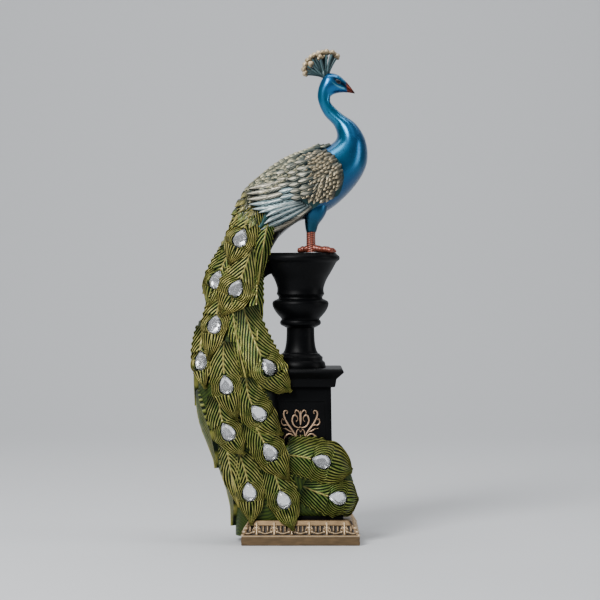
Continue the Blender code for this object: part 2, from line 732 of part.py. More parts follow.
def legs(forms, blue, copper):
    """Two thighs, two legs and their toes, side by side on the urn's rim."""
    for hand in (-1, 1):
        y = hand * LEG_SPREAD / UNIT
        label = "left" if hand > 0 else "right"
        hip, knee = on_bird(8.5, 30.0, y * 0.7), on_bird(7.2, 21.0, y)
        thigh = [hip, knee, on_bird(5.6, 15.0, y), on_bird(5.2, 11.0, y)]
        widths = [6.6 * UNIT, 5.6 * UNIT, 3.6 * UNIT, LEG_RADIUS * 1.12]
        tube(f"thigh_{label}", blue, forms, thigh, widths, 8)
        shank = [on_bird(5.2, 12.5, y), on_bird(5.1, 6.0, y), on_bird(5.4, 0.4, y)]
        tube(f"leg_{label}", copper, forms, shank, [LEG_RADIUS, LEG_RADIUS * 0.95, LEG_RADIUS * 1.15], 7)
        for number, (turn, reach) in enumerate(((-24, 11.6), (0, 12.2), (24, 11.6), (180, 6.6))):
            toe(f"toe_{label}_{number}", copper, forms, y, math.radians(turn), reach)


def toe(name, material, home, y, turn, reach):
    """One knuckled toe that lies on the urn's rim."""
    ahead = Vector((math.cos(turn), math.sin(turn), 0))
    base = on_bird(5.2, 0, y)
    points, radii = [], []
    for share, height, size in ((0, 2.4, 1.1), (0.6, 1.5, 1.05), (1, 0.5, 0.4)):
        points.append(base + ahead * share * reach * UNIT + Vector((0, 0, height * UNIT)))
        radii.append(TOE_RADIUS * size)
    tube(name, material, home, points, radii, 5)


def crest(forms, teal, beige):
    """A fan of plumes on the crown, each a thin stem with a beaded tip."""
    root = [on_bird(11.7, 85.8), on_bird(11.5, 88.6), on_bird(11.4, 90.6)]
    tube("crest_root", teal, forms, root, [1.2 * UNIT, 1.7 * UNIT, 0.8 * UNIT], 6)
    for number, (x, z, y) in enumerate(CREST_TIPS):
        base = on_bird(11.6 + 0.14 * (x - 10), 86.4 + 0.02 * x)
        tip = on_bird(x, z - 0.8, y * 0.55)
        wide = PLUME_RADIUS
        tube(f"plume_{number}", teal, forms, [base, tip], [wide * 1.2, wide * 0.8], 3)
        ahead = (tip - base).normalized() * UNIT
        bead = [tip - ahead * 1.4, tip - ahead * 0.4, tip + ahead * 0.6]
        tube(f"plume_tip_{number}", beige, forms, bead, [wide * 0.6, wide * 1.6, wide * 0.5], 4)


def wing(forms, body, champagne, hand):
    """One folded wing: shoulder shield, coverts and long flight feathers, plainer on the far side."""
    look = FROM_FRONT if hand < 0 else FROM_BACK
    label = "right" if hand < 0 else "left"
    detail = 1 if hand < 0 else 0
    thick = WING_THICKNESS
    wide_form = (-1.0, -0.55, 0.0, 0.55, 1.0)
    under = LeafStyle(thick * 0.5, thick * 0.7, steps=5, widest=0.42, root_share=0.55, across=wide_form)
    shield = LeafStyle(thick * 1.1, thick * 0.8, steps=6, widest=0.36, root_share=0.3, across=wide_form)

    def lay(kind, spine, half_width, style):
        points = [on_bird(x, z) for x, z in spine]
        leaf(f"{kind}_{label}", champagne, forms, body, look, points, half_width * UNIT, style)

    lay("wing_under", [(16.0, 38.0), (1.0, 31.0), (-19.6, 12.0)], 11.0, under)
    lay("shoulder_shield", [(20.4, 39.6), (14.0, 38.0), (-1.0, 33.0)], 11.6, shield)
    lower_count, upper_count, covert_count = (4, 5, 3) if detail else (3, 3, 0)
    edges = (-1.0, 1.0)
    blade = LeafStyle(thick * 1.2, thick * 0.3, 0.0018, 3, 0.5, 0.6, edges, ridged=True)
    for i in range(lower_count):
        step = i * 3 / (lower_count - 1)
        spine = [(3.0 + step * 0.8, 25.4 - step * 0.5), (-8.0 + step * 0.9, 22.2 - step * 2.4)]
        lay(f"lower_flight_{i}", [*spine, (-19.6 + step * 0.2, 17.6 - step * 3.2)], 2.4, blade)
    for i in range(upper_count):
        step = i * 4 / (upper_count - 1)
        spine = [(-2.6 + step * 0.6, 38.6 - step * 3.1), (-13.6 + step * 0.9, 33.4 - step * 2.8)]
        lay(f"upper_flight_{i}", [*spine, (-24.6 + step * 1.4, 30.0 - step * 2.3)], 2.6, blade)
    covert = blade._replace(steps=2, rise=thick * 1.5)
    for row in range(2):
        for i in range(covert_count):
            x = -2.2 + row * 6.0 + i * 0.8
            z = 42.0 + row * 1.2 - i * 5.4
            lay(f"covert_{row}_{i}", [(x + 6.0, z + 1.6), (x, z - 0.4), (x - 5.4, z - 2.8)], 3.2, covert)


def mantle(forms, body, champagne):
    """The feathered saddle over the back that joins the two wings."""
    form = (-1.0, -0.55, 0.0, 0.55, 1.0)
    thick = WING_THICKNESS
    style = LeafStyle(thick * 0.6, thick * 0.5, 0.0018, 5, 0.42, 0.3, form)
    spine = [on_bird(13.5, 53.0), on_bird(-3.0, 46.5), on_bird(-26.0, 28.0)]
    leaf("mantle", champagne, forms, body, FROM_ABOVE, spine, 12.5 * UNIT, style)


def rump_feathers(forms, body, green):
    """Short pointed leaves where the back meets the train, on both sides."""
    rows = [(-20.0, 32.0), (-24.0, 26.0), (-22.4, 20.6)]
    edges = (-1.0, 1.0)
    style = LeafStyle(FEATHER_RISE * 0.8, FEATHER_CROWN, 0.0018, 2, 0.5, 0.4, edges, ridged=True)
    for look, label in ((FROM_FRONT, "right"), (FROM_BACK, "left")):
        for number, (x, z) in enumerate(rows):
            spine = [on_bird(x + 2.2, z + 3.6), on_bird(x, z), on_bird(x - 2.0, z - 4.6)]
            leaf(f"rump_leaf_{label}_{number}", green, forms, body, look, spine, 3.4 * UNIT, style)


def eyes(forms, blue):
    """A low bump for each eye, on the sides of the head."""
    for hand in (-1, 1):
        centre = on_bird(18.0, 83.4, hand * 2.6)
        outward = Vector((0, hand, 0))
        x_axis, z_axis = Vector((1, 0, 0)), Vector((0, 0, 1))
        rings = []
        for depth, size in ((0.0, 1.25), (1.3, 1.2), (1.75, 0.6)):
            rings.append(circle(centre + outward * depth * UNIT, size * UNIT, 7, x_axis, z_axis))
        hide(solid(f"eye_{hand}", rings, blue, forms))


def train_feathers(forms, bed, front_bed, green, crystal, nodes, pockets):
    """Lay every feather of the train, and set the crystals in the jewelled ones.

    The front ones also drape over the pedestal's cap.
    """
    gems = 0
    for number, feather in enumerate(TRAIN_FEATHERS + HIDDEN_FEATHERS):
        if feather.look is FROM_LEFT:
            spine = [on_train(0, level, y) for y, level in (feather.root, feather.eye, feather.tip)]
        else:
            spine = [on_train(x, level) for x, level in (feather.root, feather.eye, feather.tip)]
        rise = FEATHER_RISE + feather.lift * FEATHER_LIFT
        style = LeafStyle(
            rise,
            FEATHER_CROWN,
            FEATHER_SINK,
            root_share=FEATHER_ROOT_SHARE,
            fullness=feather.fullness,
            wrap=feather.wrap,
        )
        name = f"train_feather_{number:02d}"
        host = front_bed if feather.look is FROM_FRONT else bed
        middle, up = leaf(name, green, forms, host, feather.look, spine, feather.half_width * UNIT, style)
        if feather.jewelled:
            gems += 1
            set_gem(gems, middle, up, style.widest, crystal, green, nodes, pockets)


def combine(made, name, operation, operand):
    """Join a whole collection to an object, or cut it away."""
    modifier = made.modifiers.new(name, "BOOLEAN")
    modifier.operation = operation
    modifier.operand_type = "COLLECTION"
    modifier.collection = operand
    modifier.solver = "EXACT"
    modifier.material_mode = "TRANSFER"


def connected(face, left):
    """All the faces that join a face across edges with two faces, taken out of the ones left."""
    stack, shell = [face], [face]
    left.discard(face)
    while stack:
        for edge in stack.pop().edges:
            for other in edge.link_faces:
                if other in left and len(edge.link_faces) == 2:
                    left.discard(other)
                    stack.append(other)
                    shell.append(other)
    return shell


def enclosed(shell):
    """The volume that a shell of triangles encloses."""
    return abs(sum(f.verts[0].co.dot(f.verts[1].co.cross(f.verts[2].co)) for f in shell)) / 6


def fill_pinholes(made):
    """Apply an object's modifiers, and fill the sealed pinholes that overlapping feathers leave inside it."""
    bpy.context.view_layer.update()
    shown = made.evaluated_get(bpy.context.evaluated_depsgraph_get())
    mesh = bpy.data.meshes.new_from_object(shown)
    shape = bmesh.new()
    shape.from_mesh(mesh)
    bmesh.ops.triangulate(shape, faces=shape.faces)
    left = set(shape.faces)
    shells = [connected(face, left) for face in list(shape.faces) if face in left]
    pinholes = [face for shell in shells if enclosed(shell) < PINHOLE for face in shell]
    bmesh.ops.delete(shape, geom=pinholes, context="FACES")
    shape.to_mesh(mesh)
    shape.free()
    made.modifiers.clear()
    made.data = mesh


def main():
    """Build the casting and its crystals."""
    start_empty()
    black = finish("satin_black", (0.012, 0.013, 0.014), 0.42)
    gold = finish("antique_gold", (0.42, 0.27, 0.13), 0.45, 0.6)
    blue = finish("pearl_blue", (0.01, 0.16, 0.36), 0.3, 0.5)
    green = finish("gilded_green", (0.14, 0.20, 0.04), 0.45, 0.3)
    champagne = finish("champagne_silver", (0.46, 0.43, 0.34), 0.45, 0.4)
    copper = finish("copper_red", (0.45, 0.12, 0.07), 0.4, 0.5)
    teal = finish("dark_teal", (0.02, 0.12, 0.15), 0.4, 0.3)
    crystal = finish("clear_crystal", (0.95, 0.96, 0.97), 0.02, 0.0, 0.9)

    figure = collection("figure_forms")
    stand = collection("stand_forms")
    cutters = collection("panel_cutters")
    pockets = collection("gem_pockets")
    nodes = collection("figurine")

    top_width = SLAB_WIDTH - 2 * SLOPE_INSET
    plinth = [square(SLAB_WIDTH, 0.0), square(SLAB_WIDTH, SLAB_HEIGHT), square(top_width, PLINTH_TOP)]
    casting = solid("peacock_casting", plinth, gold, nodes, smooth=False)
    frieze(stand, gold)
    shaft, cap = pedestal(stand, black)
    panel_cutters(cutters, black)
    scrollwork(stand, gold)
    urn(stand, black)

    body = hide(solid("bird_body", bird_rings(), blue, stand))
    train = hide(solid("train_core", train_rings(), green, figure))
    sweep = hide(solid("train_sweep", sweep_rings(), green, figure))
    legs(figure, blue, copper)
    crest(figure, teal, champagne)
    eyes(figure, blue)
    mantle(figure, surface_of(body), champagne)
    for hand in (-1, 1):
        wing(figure, surface_of(body), champagne, hand)
    rump_feathers(figure, surface_of(body, train), green)
    bed = surface_of(body, train, sweep, casting)
    front_bed = surface_of(body, train, sweep, casting, cap)
    train_feathers(figure, bed, front_bed, green, crystal, nodes, pockets)

    combine(shaft, "sink_panels", "DIFFERENCE", cutters)
    combine(body, "join_figure", "UNION", figure)
    combine(casting, "join_stand", "UNION", stand)
    combine(casting, "cut_pockets", "DIFFERENCE", pockets)
    merge = casting.modifiers.new("merge_flat_facets", "DECIMATE")
    merge.decimate_type = "DISSOLVE"
    merge.angle_limit = math.radians(FLAT_ANGLE)
    merge.delimit = {"MATERIAL"}
    fill_pinholes(casting)


main()
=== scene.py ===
"""Looks of a cast and hand-painted peacock figurine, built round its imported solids.

Metres, +Z up. The plinth's underside is at the origin, the bird faces +X and the front is -Y.
"""

from __future__ import annotations

import logging
import math
import random
from dataclasses import dataclass, field, replace
from enum import Enum
from typing import Callable, NamedTuple, Sequence

import bmesh
import bpy
import numpy as np
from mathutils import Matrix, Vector
from mathutils.bvhtree import BVHTree

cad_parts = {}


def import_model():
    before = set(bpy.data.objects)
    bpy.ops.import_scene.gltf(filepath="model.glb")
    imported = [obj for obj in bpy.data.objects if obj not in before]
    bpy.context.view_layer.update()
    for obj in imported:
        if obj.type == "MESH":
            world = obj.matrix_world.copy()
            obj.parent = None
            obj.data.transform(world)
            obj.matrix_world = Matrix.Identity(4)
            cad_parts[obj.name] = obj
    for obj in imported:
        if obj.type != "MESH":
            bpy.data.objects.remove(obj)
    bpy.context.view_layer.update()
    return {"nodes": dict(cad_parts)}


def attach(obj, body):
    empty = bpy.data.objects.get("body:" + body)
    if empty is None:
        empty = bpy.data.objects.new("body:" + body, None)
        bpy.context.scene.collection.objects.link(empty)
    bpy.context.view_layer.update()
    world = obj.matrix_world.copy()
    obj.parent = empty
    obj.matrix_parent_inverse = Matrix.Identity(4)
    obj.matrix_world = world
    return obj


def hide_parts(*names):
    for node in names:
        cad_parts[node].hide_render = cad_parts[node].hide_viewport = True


LOG = logging.getLogger("peacock")

Colour = tuple[float, float, float]
Ring = list[Vector]

CASTING = "peacock_casting"
BODY = "root"

FROM_FRONT = Vector((0, 1, 0))
FROM_BACK = Vector((0, -1, 0))
FROM_LEFT = Vector((1, 0, 0))
FROM_ABOVE = Vector((0.545, 0, -0.839)).normalized()

# How far off the looks that find a bed start, in metres
REACH = 0.30


# Where things are


@dataclass(frozen=True)
class Datum:
    """Heights that every sub-assembly hangs on, in metres."""

    plinth_top: float = 0.0172
    shaft_top: float = 0.1127
    cap_top: float = 0.1260
    stand: float = 0.2103
    bird_height: float = 0.150

    @property
    def unit(self) -> float:
        """A hundredth of the bird's height."""
        return self.bird_height / 100

    def bird(self, x: float, z: float, y: float = 0.0) -> Vector:
        """A point of the bird, in hundredths of its height above the stand."""
        return Vector((x * self.unit, y * self.unit, self.stand + z * self.unit))

    def train(self, x: float, level: float, y: float = 0.0) -> Vector:
        """A point of the train, at a level from 0 on the plinth to 100 on the urn."""
        drop = self.stand - self.plinth_top
        return Vector((x * self.unit, y * self.unit, self.plinth_top + level * drop / 100))


DATUM = Datum()


# Finishes


class Gloss(Enum):
    """How bright a painted coat is."""

    SATIN = 0.40
    BRIGHT = 0.26
    MIRROR = 0.10


@dataclass(frozen=True)
class Finish:
    """A painted or plated surface that varies a little from place to place.

    Args:
        name: the material's name.
        colour: its linear colour, or None where the piece's own "paint" attribute gives it.
        gloss: how bright the coat is.
        metallic: share of metal flake.
        coat: weight of the clear lacquer.
        wander: how far the colour strays from place to place.
        grain: size of that variation, in metres.
        tooth: depth of the fine surface bumps, in metres.
        specular: strength of the plain reflection.
    """

    name: str
    colour: Colour | None = None
    gloss: Gloss = Gloss.SATIN
    metallic: float = 0.0
    coat: float = 0.0
    wander: float = 0.12
    grain: float = 0.006
    tooth: float = 0.00003
    specular: float = 0.5

    def material(self) -> bpy.types.Material:
        """Build the node tree.

        Returns:
            The new material.
        """
        made = bpy.data.materials.new(self.name)
        made.use_nodes = True
        tree = made.node_tree
        nodes, links = tree.nodes, tree.links
        shader = nodes["Principled BSDF"]
        shader.inputs["Metallic"].default_value = self.metallic
        shader.inputs["Coat Weight"].default_value = self.coat
        shader.inputs["Coat Roughness"].default_value = 0.25
        shader.inputs["Specular IOR Level"].default_value = self.specular
        place = nodes.new("ShaderNodeTexCoord")
        noise = nodes.new("ShaderNodeTexNoise")
        noise.inputs["Scale"].default_value = 1 / self.grain
        noise.inputs["Detail"].default_value = 4.0
        links.new(place.outputs["Object"], noise.inputs["Vector"])
        shift = nodes.new("ShaderNodeMapRange")
        shift.inputs["From Min"].default_value = 0.3
        shift.inputs["From Max"].default_value = 0.7
        shift.inputs["To Min"].default_value = 1 - self.wander
        shift.inputs["To Max"].default_value = 1 + self.wander
        links.new(noise.outputs["Fac"], shift.inputs["Value"])
        tint = nodes.new("ShaderNodeVectorMath")
        tint.operation = "SCALE"
        if self.colour is None:
            paint = nodes.new("ShaderNodeAttribute")
            paint.attribute_name = "paint"
            links.new(paint.outputs["Color"], tint.inputs[0])
        else:
            tint.inputs[0].default_value = self.colour
        links.new(shift.outputs["Result"], tint.inputs["Scale"])
        links.new(tint.outputs["Vector"], shader.inputs["Base Color"])
        dull = nodes.new("ShaderNodeMapRange")
        dull.inputs["To Min"].default_value = self.gloss.value - 0.06
        dull.inputs["To Max"].default_value = self.gloss.value + 0.10
        links.new(noise.outputs["Fac"], dull.inputs["Value"])
        links.new(dull.outputs["Result"], shader.inputs["Roughness"])
        fine = nodes.new("ShaderNodeTexNoise")
        fine.inputs["Scale"].default_value = 900.0
        links.new(place.outputs["Object"], fine.inputs["Vector"])
        bump = nodes.new("ShaderNodeBump")
        bump.inputs["Distance"].default_value = self.tooth
        bump.inputs["Strength"].default_value = 0.6
        links.new(fine.outputs["Fac"], bump.inputs["Height"])
        links.new(bump.outputs["Normal"], shader.inputs["Normal"])
        return made


@dataclass(frozen=True)
class CrystalFinish:
    """Clear cut crystal, see-through by plain values."""

    name: str = "clear_crystal"
    colour: Colour = (0.97, 0.98, 1.0)
    clearness: float = 0.85
    index: float = 1.62

    def material(self) -> bpy.types.Material:
        """Build the material.

        Returns:
            The new material.
        """
        made = bpy.data.materials.new(self.name)
        made.use_nodes = True
        shader = made.node_tree.nodes["Principled BSDF"]
        shader.inputs["Base Color"].default_value = (*self.colour, 1.0)
        shader.inputs["Roughness"].default_value = 0.02
        shader.inputs["IOR"].default_value = self.index
        shader.inputs["Transmission Weight"].default_value = self.clearness
        return made


BLACK: Colour = (0.0022, 0.0024, 0.0028)
DEEP_TEAL: Colour = (0.010, 0.040, 0.045)
PEARL_BLUE: Colour = (0.010, 0.115, 0.30)
PEARL_TEAL: Colour = (0.016, 0.24, 0.38)
UNDERSIDE_SHADE_BLUE: Colour = (0.003, 0.045, 0.115)
THIGH_BLUE: Colour = (0.004, 0.045, 0.075)
NAVY: Colour = (0.002, 0.012, 0.040)
SKY: Colour = (0.16, 0.48, 0.62)
BEAK_RED: Colour = (0.16, 0.028, 0.014)
BEAK_TIP: Colour = (0.020, 0.004, 0.004)
MOUTH: Colour = (0.008, 0.004, 0.006)
EYE_BLACK: Colour = (0.003, 0.003, 0.006)
GROOVE: Colour = (0.0020, 0.0065, 0.0018)
CORE_DARK: Colour = (0.004, 0.014, 0.004)
CORE_GREEN: Colour = (0.05, 0.075, 0.012)
EMERALD: Colour = (0.010, 0.105, 0.018)
LEAF_GREEN: Colour = (0.090, 0.150, 0.018)
DRY_GOLD: Colour = (0.54, 0.46, 0.15)
BRONZE: Colour = (0.20, 0.13, 0.030)
LEG_RED: Colour = (0.36, 0.085, 0.048)
SCUTE_GROOVE_SHADE: Colour = (0.012, 0.003, 0.002)
ANTIQUE_GOLD: Colour = (0.42, 0.27, 0.13)
GOLD_WASH: Colour = (0.010, 0.006, 0.003)
CREAM_GOLD: Colour = (0.72, 0.56, 0.37)
ROSE_GOLD: Colour = (0.62, 0.42, 0.30)
STEM_DARK: Colour = (0.006, 0.022, 0.028)
STEM_LIGHT: Colour = (0.10, 0.18, 0.19)
TUFT_DARK: Colour = (0.07, 0.05, 0.022)
TUFT_LIGHT: Colour = (0.62, 0.50, 0.32)


def pearl_finish(name: str) -> Finish:
    """Pearl blue lacquer over metal flake, on the bird and its thighs."""
    look = {"metallic": 0.80, "coat": 0.12, "wander": 0.10, "grain": 0.010, "tooth": 0.000008}
    return Finish(name, gloss=Gloss.BRIGHT, **look)


def black_finish(name: str, specular: float = 0.08, painted: bool = False) -> Finish:
    """Satin black lacquer, on the pedestal, the urn and the train's core."""
    return Finish(name, None if painted else BLACK, wander=0.2, grain=0.02, specular=specular)


def blend_colour(first: Sequence[float], second: Sequence[float], share: float) -> np.ndarray:
    """A colour between two, at a share that is held between 0 and 1."""
    share = min(max(share, 0.0), 1.0)
    return np.asarray(first) * (1 - share) + np.asarray(second) * share


def smoothstep(low: float, high: float, value: float) -> float:
    """A smooth rise from 0 at low to 1 at high."""
    share = min(max((value - low) / (high - low), 0.0), 1.0)
    return share * share * (3 - 2 * share)


# Mesh building


def link_mesh(name: str, points: Sequence, edges: Sequence, faces: Sequence) -> bpy.types.Object:
    """A new object of a new mesh, linked to the scene."""
    mesh = bpy.data.meshes.new(name)
    mesh.from_pydata(points, edges, faces)
    made = bpy.data.objects.new(name, mesh)
    bpy.context.scene.collection.objects.link(made)
    return made


def loft_faces(start: int, rings: int, count: int) -> list[tuple[int, ...]]:
    """The quads between rings of points.

    Args:
        start: index of the first ring's first point.
        rings: number of rings.
        count: points in each ring.

    Returns:
        The faces.
    """
    faces = []
    for row in range(rings - 1):
        low, high = start + row * count, start + (row + 1) * count
        for i in range(count):
            j = (i + 1) % count
            faces.append((low + i, low + j, high + j, high + i))
    return faces


@dataclass
class Carving:
    """Gathers the points, faces and paint of one piece before it becomes a mesh."""

    points: list[Sequence[float]] = field(default_factory=list)
    faces: list[tuple[int, ...]] = field(default_factory=list)
    paint: list[Sequence[float]] = field(default_factory=list)

    def add(self, points: Sequence[Sequence[float]], faces: Sequence[Sequence[int]], paint: Sequence) -> None:
        """Take in one closed form.

        Args:
            points: its points.
            faces: its faces, as indices into those points.
            paint: one colour, or one for each point.
        """
        start = len(self.points)
        self.points.extend(points)
        self.faces.extend(tuple(start + i for i in face) for face in faces)
        if len(paint) == 3 and not hasattr(paint[0], "__len__"):
            paint = [paint] * len(points)
        self.paint.extend(paint)

    def loft(self, rings: Sequence[Ring], paint: Sequence | Callable[[Vector], Sequence]) -> None:
        """Take in a closed loft through rings of equal length.

        Args:
            rings: the rings, first to last.
            paint: a colour, or a function that gives each point's colour.
        """
        count = len(rings[0])
        points = [point for ring in rings for point in ring]
        faces = loft_faces(0, len(rings), count)
        faces.append(tuple(range(count))[::-1])
        faces.append(tuple(range(len(points) - count, len(points))))
        self.add(points, faces, [paint(p) for p in points] if callable(paint) else paint)

    def piece(self, name: str, finish: Finish | CrystalFinish, smooth: float = 50.0) -> bpy.types.Object:
        """Make the gathered forms one object at the origin, faces out.

        Args:
            name: the piece's name.
            finish: its finish.
            smooth: edges sharper than this many degrees stay sharp.

        Returns:
            The new object.
        """
        made = link_mesh(name, [tuple(p) for p in self.points], [], self.faces)
        mesh = made.data
        layer = mesh.color_attributes.new("paint", "FLOAT_COLOR", "POINT")
        colours = np.ones((len(self.points), 4), np.float32)
        colours[:, :3] = np.asarray([tuple(c)[:3] for c in self.paint], np.float32)
        layer.data.foreach_set("color", colours.ravel())
        shape = bmesh.new()
        shape.from_mesh(mesh)
        bmesh.ops.recalc_face_normals(shape, faces=shape.faces)
        shape.to_mesh(mesh)
        shape.free()
        mesh.shade_smooth()
        mesh.set_sharp_from_angle(angle=math.radians(smooth))
        mesh.materials.append(finish.material())
        return made


def smooth_rows(rows: Sequence[Sequence[float]], steps: int) -> list[np.ndarray]:
    """Rows of numbers with a smooth curve through them.

    Args:
        rows: the rows to pass through.
        steps: how many steps from each row to the next.

    Returns:
        The finer rows.
    """
    values = np.array(rows, float)
    last = len(values) - 1
    made = []
    for k in range(last * steps + 1):
        i = min(k // steps, last - 1)
        f = k / steps - i
        p0, p1, p2, p3 = (values[min(max(i + j, 0), last)] for j in (-1, 0, 1, 2))
        curve = 2 * p1 + (p2 - p0) * f + (2 * p0 - 5 * p1 + 4 * p2 - p3) * f**2
        made.append(0.5 * (curve + (3 * p1 - p0 - 3 * p2 + p3) * f**3))
    return made


def oval(centre: Vector, first: Vector, second: Vector, third: Vector, sides: int, fullness: float) -> Ring:
    """A ring about a centre with its own swell to each side.

    Args:
        centre: the ring's middle.
        first: its first half axis.
        second: the swell on one side of it.
        third: the swell on the other side.
        sides: number of points.
        fullness: 2 for an ellipse, more for a boxier ring.

    Returns:
        The ring.
    """
    ring = []
    for i in range(sides):
        turn = 2 * math.pi * i / sides
        along = math.copysign(abs(math.cos(turn)) ** (2 / fullness), math.cos(turn))
        aside = math.copysign(abs(math.sin(turn)) ** (2 / fullness), math.sin(turn))
        ring.append(centre + first * along + (second if aside >= 0 else third) * aside)
    return ring


def round_ring(centre: Vector, radius: float, sides: int, along: Vector, across: Vector) -> Ring:
    """A circle of points about a centre, in the plane of two directions."""
    turns = [2 * math.pi * i / sides for i in range(sides)]
    return [centre + (along * math.cos(a) + across * math.sin(a)) * radius for a in turns]


def tube_rings(points: Sequence[Vector], radii: Sequence[float], sides: int) -> list[Ring]:
    """Rings of a tapering limb.

    Args:
        points: the limb's middle line.
        radii: its radius at each point.
        sides: points in each ring.

    Returns:
        The rings.
    """
    rings = []
    for i, point in enumerate(points):
        ahead = (points[min(i + 1, len(points) - 1)] - points[max(i - 1, 0)]).normalized()
        across = ahead.cross(Vector((0, 1, 0)))
        if across.length < 0.1:
            across = ahead.cross(Vector((0, 0, 1)))
        across.normalize()
        rings.append(round_ring(point, radii[i], sides, across, ahead.cross(across).normalized()))
    return rings


def bed_of(*rings_list: Sequence[Ring]) -> BVHTree:
    """A search tree over several lofts."""
    points: list[Vector] = []
    faces: list[tuple[int, ...]] = []
    for rings in rings_list:
        faces += loft_faces(len(points), len(rings), len(rings[0]))
        points += [point for ring in rings for point in ring]
    return BVHTree.FromPolygons(points, faces)


# Feathers


@dataclass(frozen=True)
class Cut:
    """How a feather is carved.

    Args:
        rise: how proud it stands at its tip.
        crown: height of its dome.
        sink: how far its edges reach into its bed.
        widest: share of its length where it is widest.
        root_share: its root's width as a share of the widest.
        fullness: how full it stays towards its tip.
        root_rise: share of the rise at its root.
        rows: steps along it.
        columns: steps across it.
        pitch: spacing of its barbs, in metres.
        barb: height of its barbs.
        slant: how strongly the barbs sweep towards the tip.
        rachis: height of its shaft.
        teeth: how far barb ends stand out at its edge, as a share of its width.
        wrap: how far round its bed it may reach, as a share of its half width.
        stiffness: how far it spans hollows of its bed, in grid steps.
    """

    rise: float
    crown: float
    sink: float = 0.0018
    widest: float = 0.58
    root_share: float = 0.5
    fullness: float = 1.9
    root_rise: float = 0.45
    rows: int = 84
    columns: int = 72
    pitch: float = 0.0020
    barb: float = 0.00080
    slant: float = 1.9
    rachis: float = 0.0006
    teeth: float = 0.08
    wrap: float = 0.8
    stiffness: int = 60

    def width(self, t: float) -> float:
        """Its half width at a share of its length, as a share of the widest."""
        if t < self.widest:
            return self.root_share + (1 - self.root_share) * math.sin(math.pi / 2 * t / self.widest)
        return max(1 - ((t - self.widest) / (1 - self.widest)) ** self.fullness, 0.12)

    def run(self, t: float) -> float:
        """How far the barbs have moved on at a share of its length: slower past the eye."""
        start, span, tail = self.widest - 0.16, 0.26, 0.30
        if t < start:
            return t
        x = min((t - start) / span, 1.0)
        return start + tail * (t - start) + (1 - tail) * span * (x - x**3 + x**4 / 2)


class Seat(NamedTuple):
    """Where a crystal sits: middle of its flat back, and its three directions."""

    centre: Vector
    ahead: Vector
    side: Vector
    up: Vector


class Scheme(NamedTuple):
    """The colours of one feather: grooves, inner and outer barbs, the brushed ridges, how much gilding shows,
    painted shade along its edges, and where the painted shade at its root ends.
    """

    groove: Colour
    low: Colour
    high: Colour
    brush: Colour
    gilding: float
    edge_shade: float = 0.0
    shade: float = 0.22


def pear_reach(turn: float) -> float:
    """Half width of a pear outline at a turn from its point, not yet scaled."""
    return math.sin(turn) * abs(math.sin(turn / 2)) ** 0.7


PEAR_WIDEST = max(pear_reach(a) for a in np.linspace(0, math.pi, 60))


@dataclass(frozen=True)
class Pear:
    """The crystals' outline."""

    length: float = 0.0140
    width: float = 0.0100

    def outline(self, sides: int) -> list[tuple[float, float]]:
        """Points round the outline, as pairs along and across from the point."""
        half, wide = self.length / 2, self.width / 2
        turns = [2 * math.pi * i / sides for i in range(sides)]
        reaches = [math.copysign(pear_reach(abs(math.pi - abs(a - math.pi))), math.sin(a)) for a in turns]
        return [(-half * math.cos(a), wide * reach / PEAR_WIDEST) for a, reach in zip(turns, reaches)]

    def ratio(self, along: float, across: float) -> float:
        """How far out a point is: 1 on the outline, less inside."""
        reach = max(abs(along) / (self.length / 2), 1e-6)
        turn = math.acos(min(max(-along / (self.length / 2), -1.0), 1.0))
        edge = self.width / 2 * pear_reach(turn) / PEAR_WIDEST
        if abs(along) >= self.length / 2:
            return math.hypot(reach, abs(across) / (self.width / 2))
        return max(abs(across) / max(edge, 1e-5), reach**6)


PEAR = Pear()


SHAFT_WIDTH = 0.0005
SHAFT_END = 0.14
NO_CRYSTAL = 9.0
RIM_LEVEL = 0.0015
BEAD_HEIGHT = 0.0006
BEAD_PLACE = 0.0010
POCKET_DEPTH = 0.0003
POCKET_EDGE = 1.04
SILVER: Colour = (0.35, 0.35, 0.36)


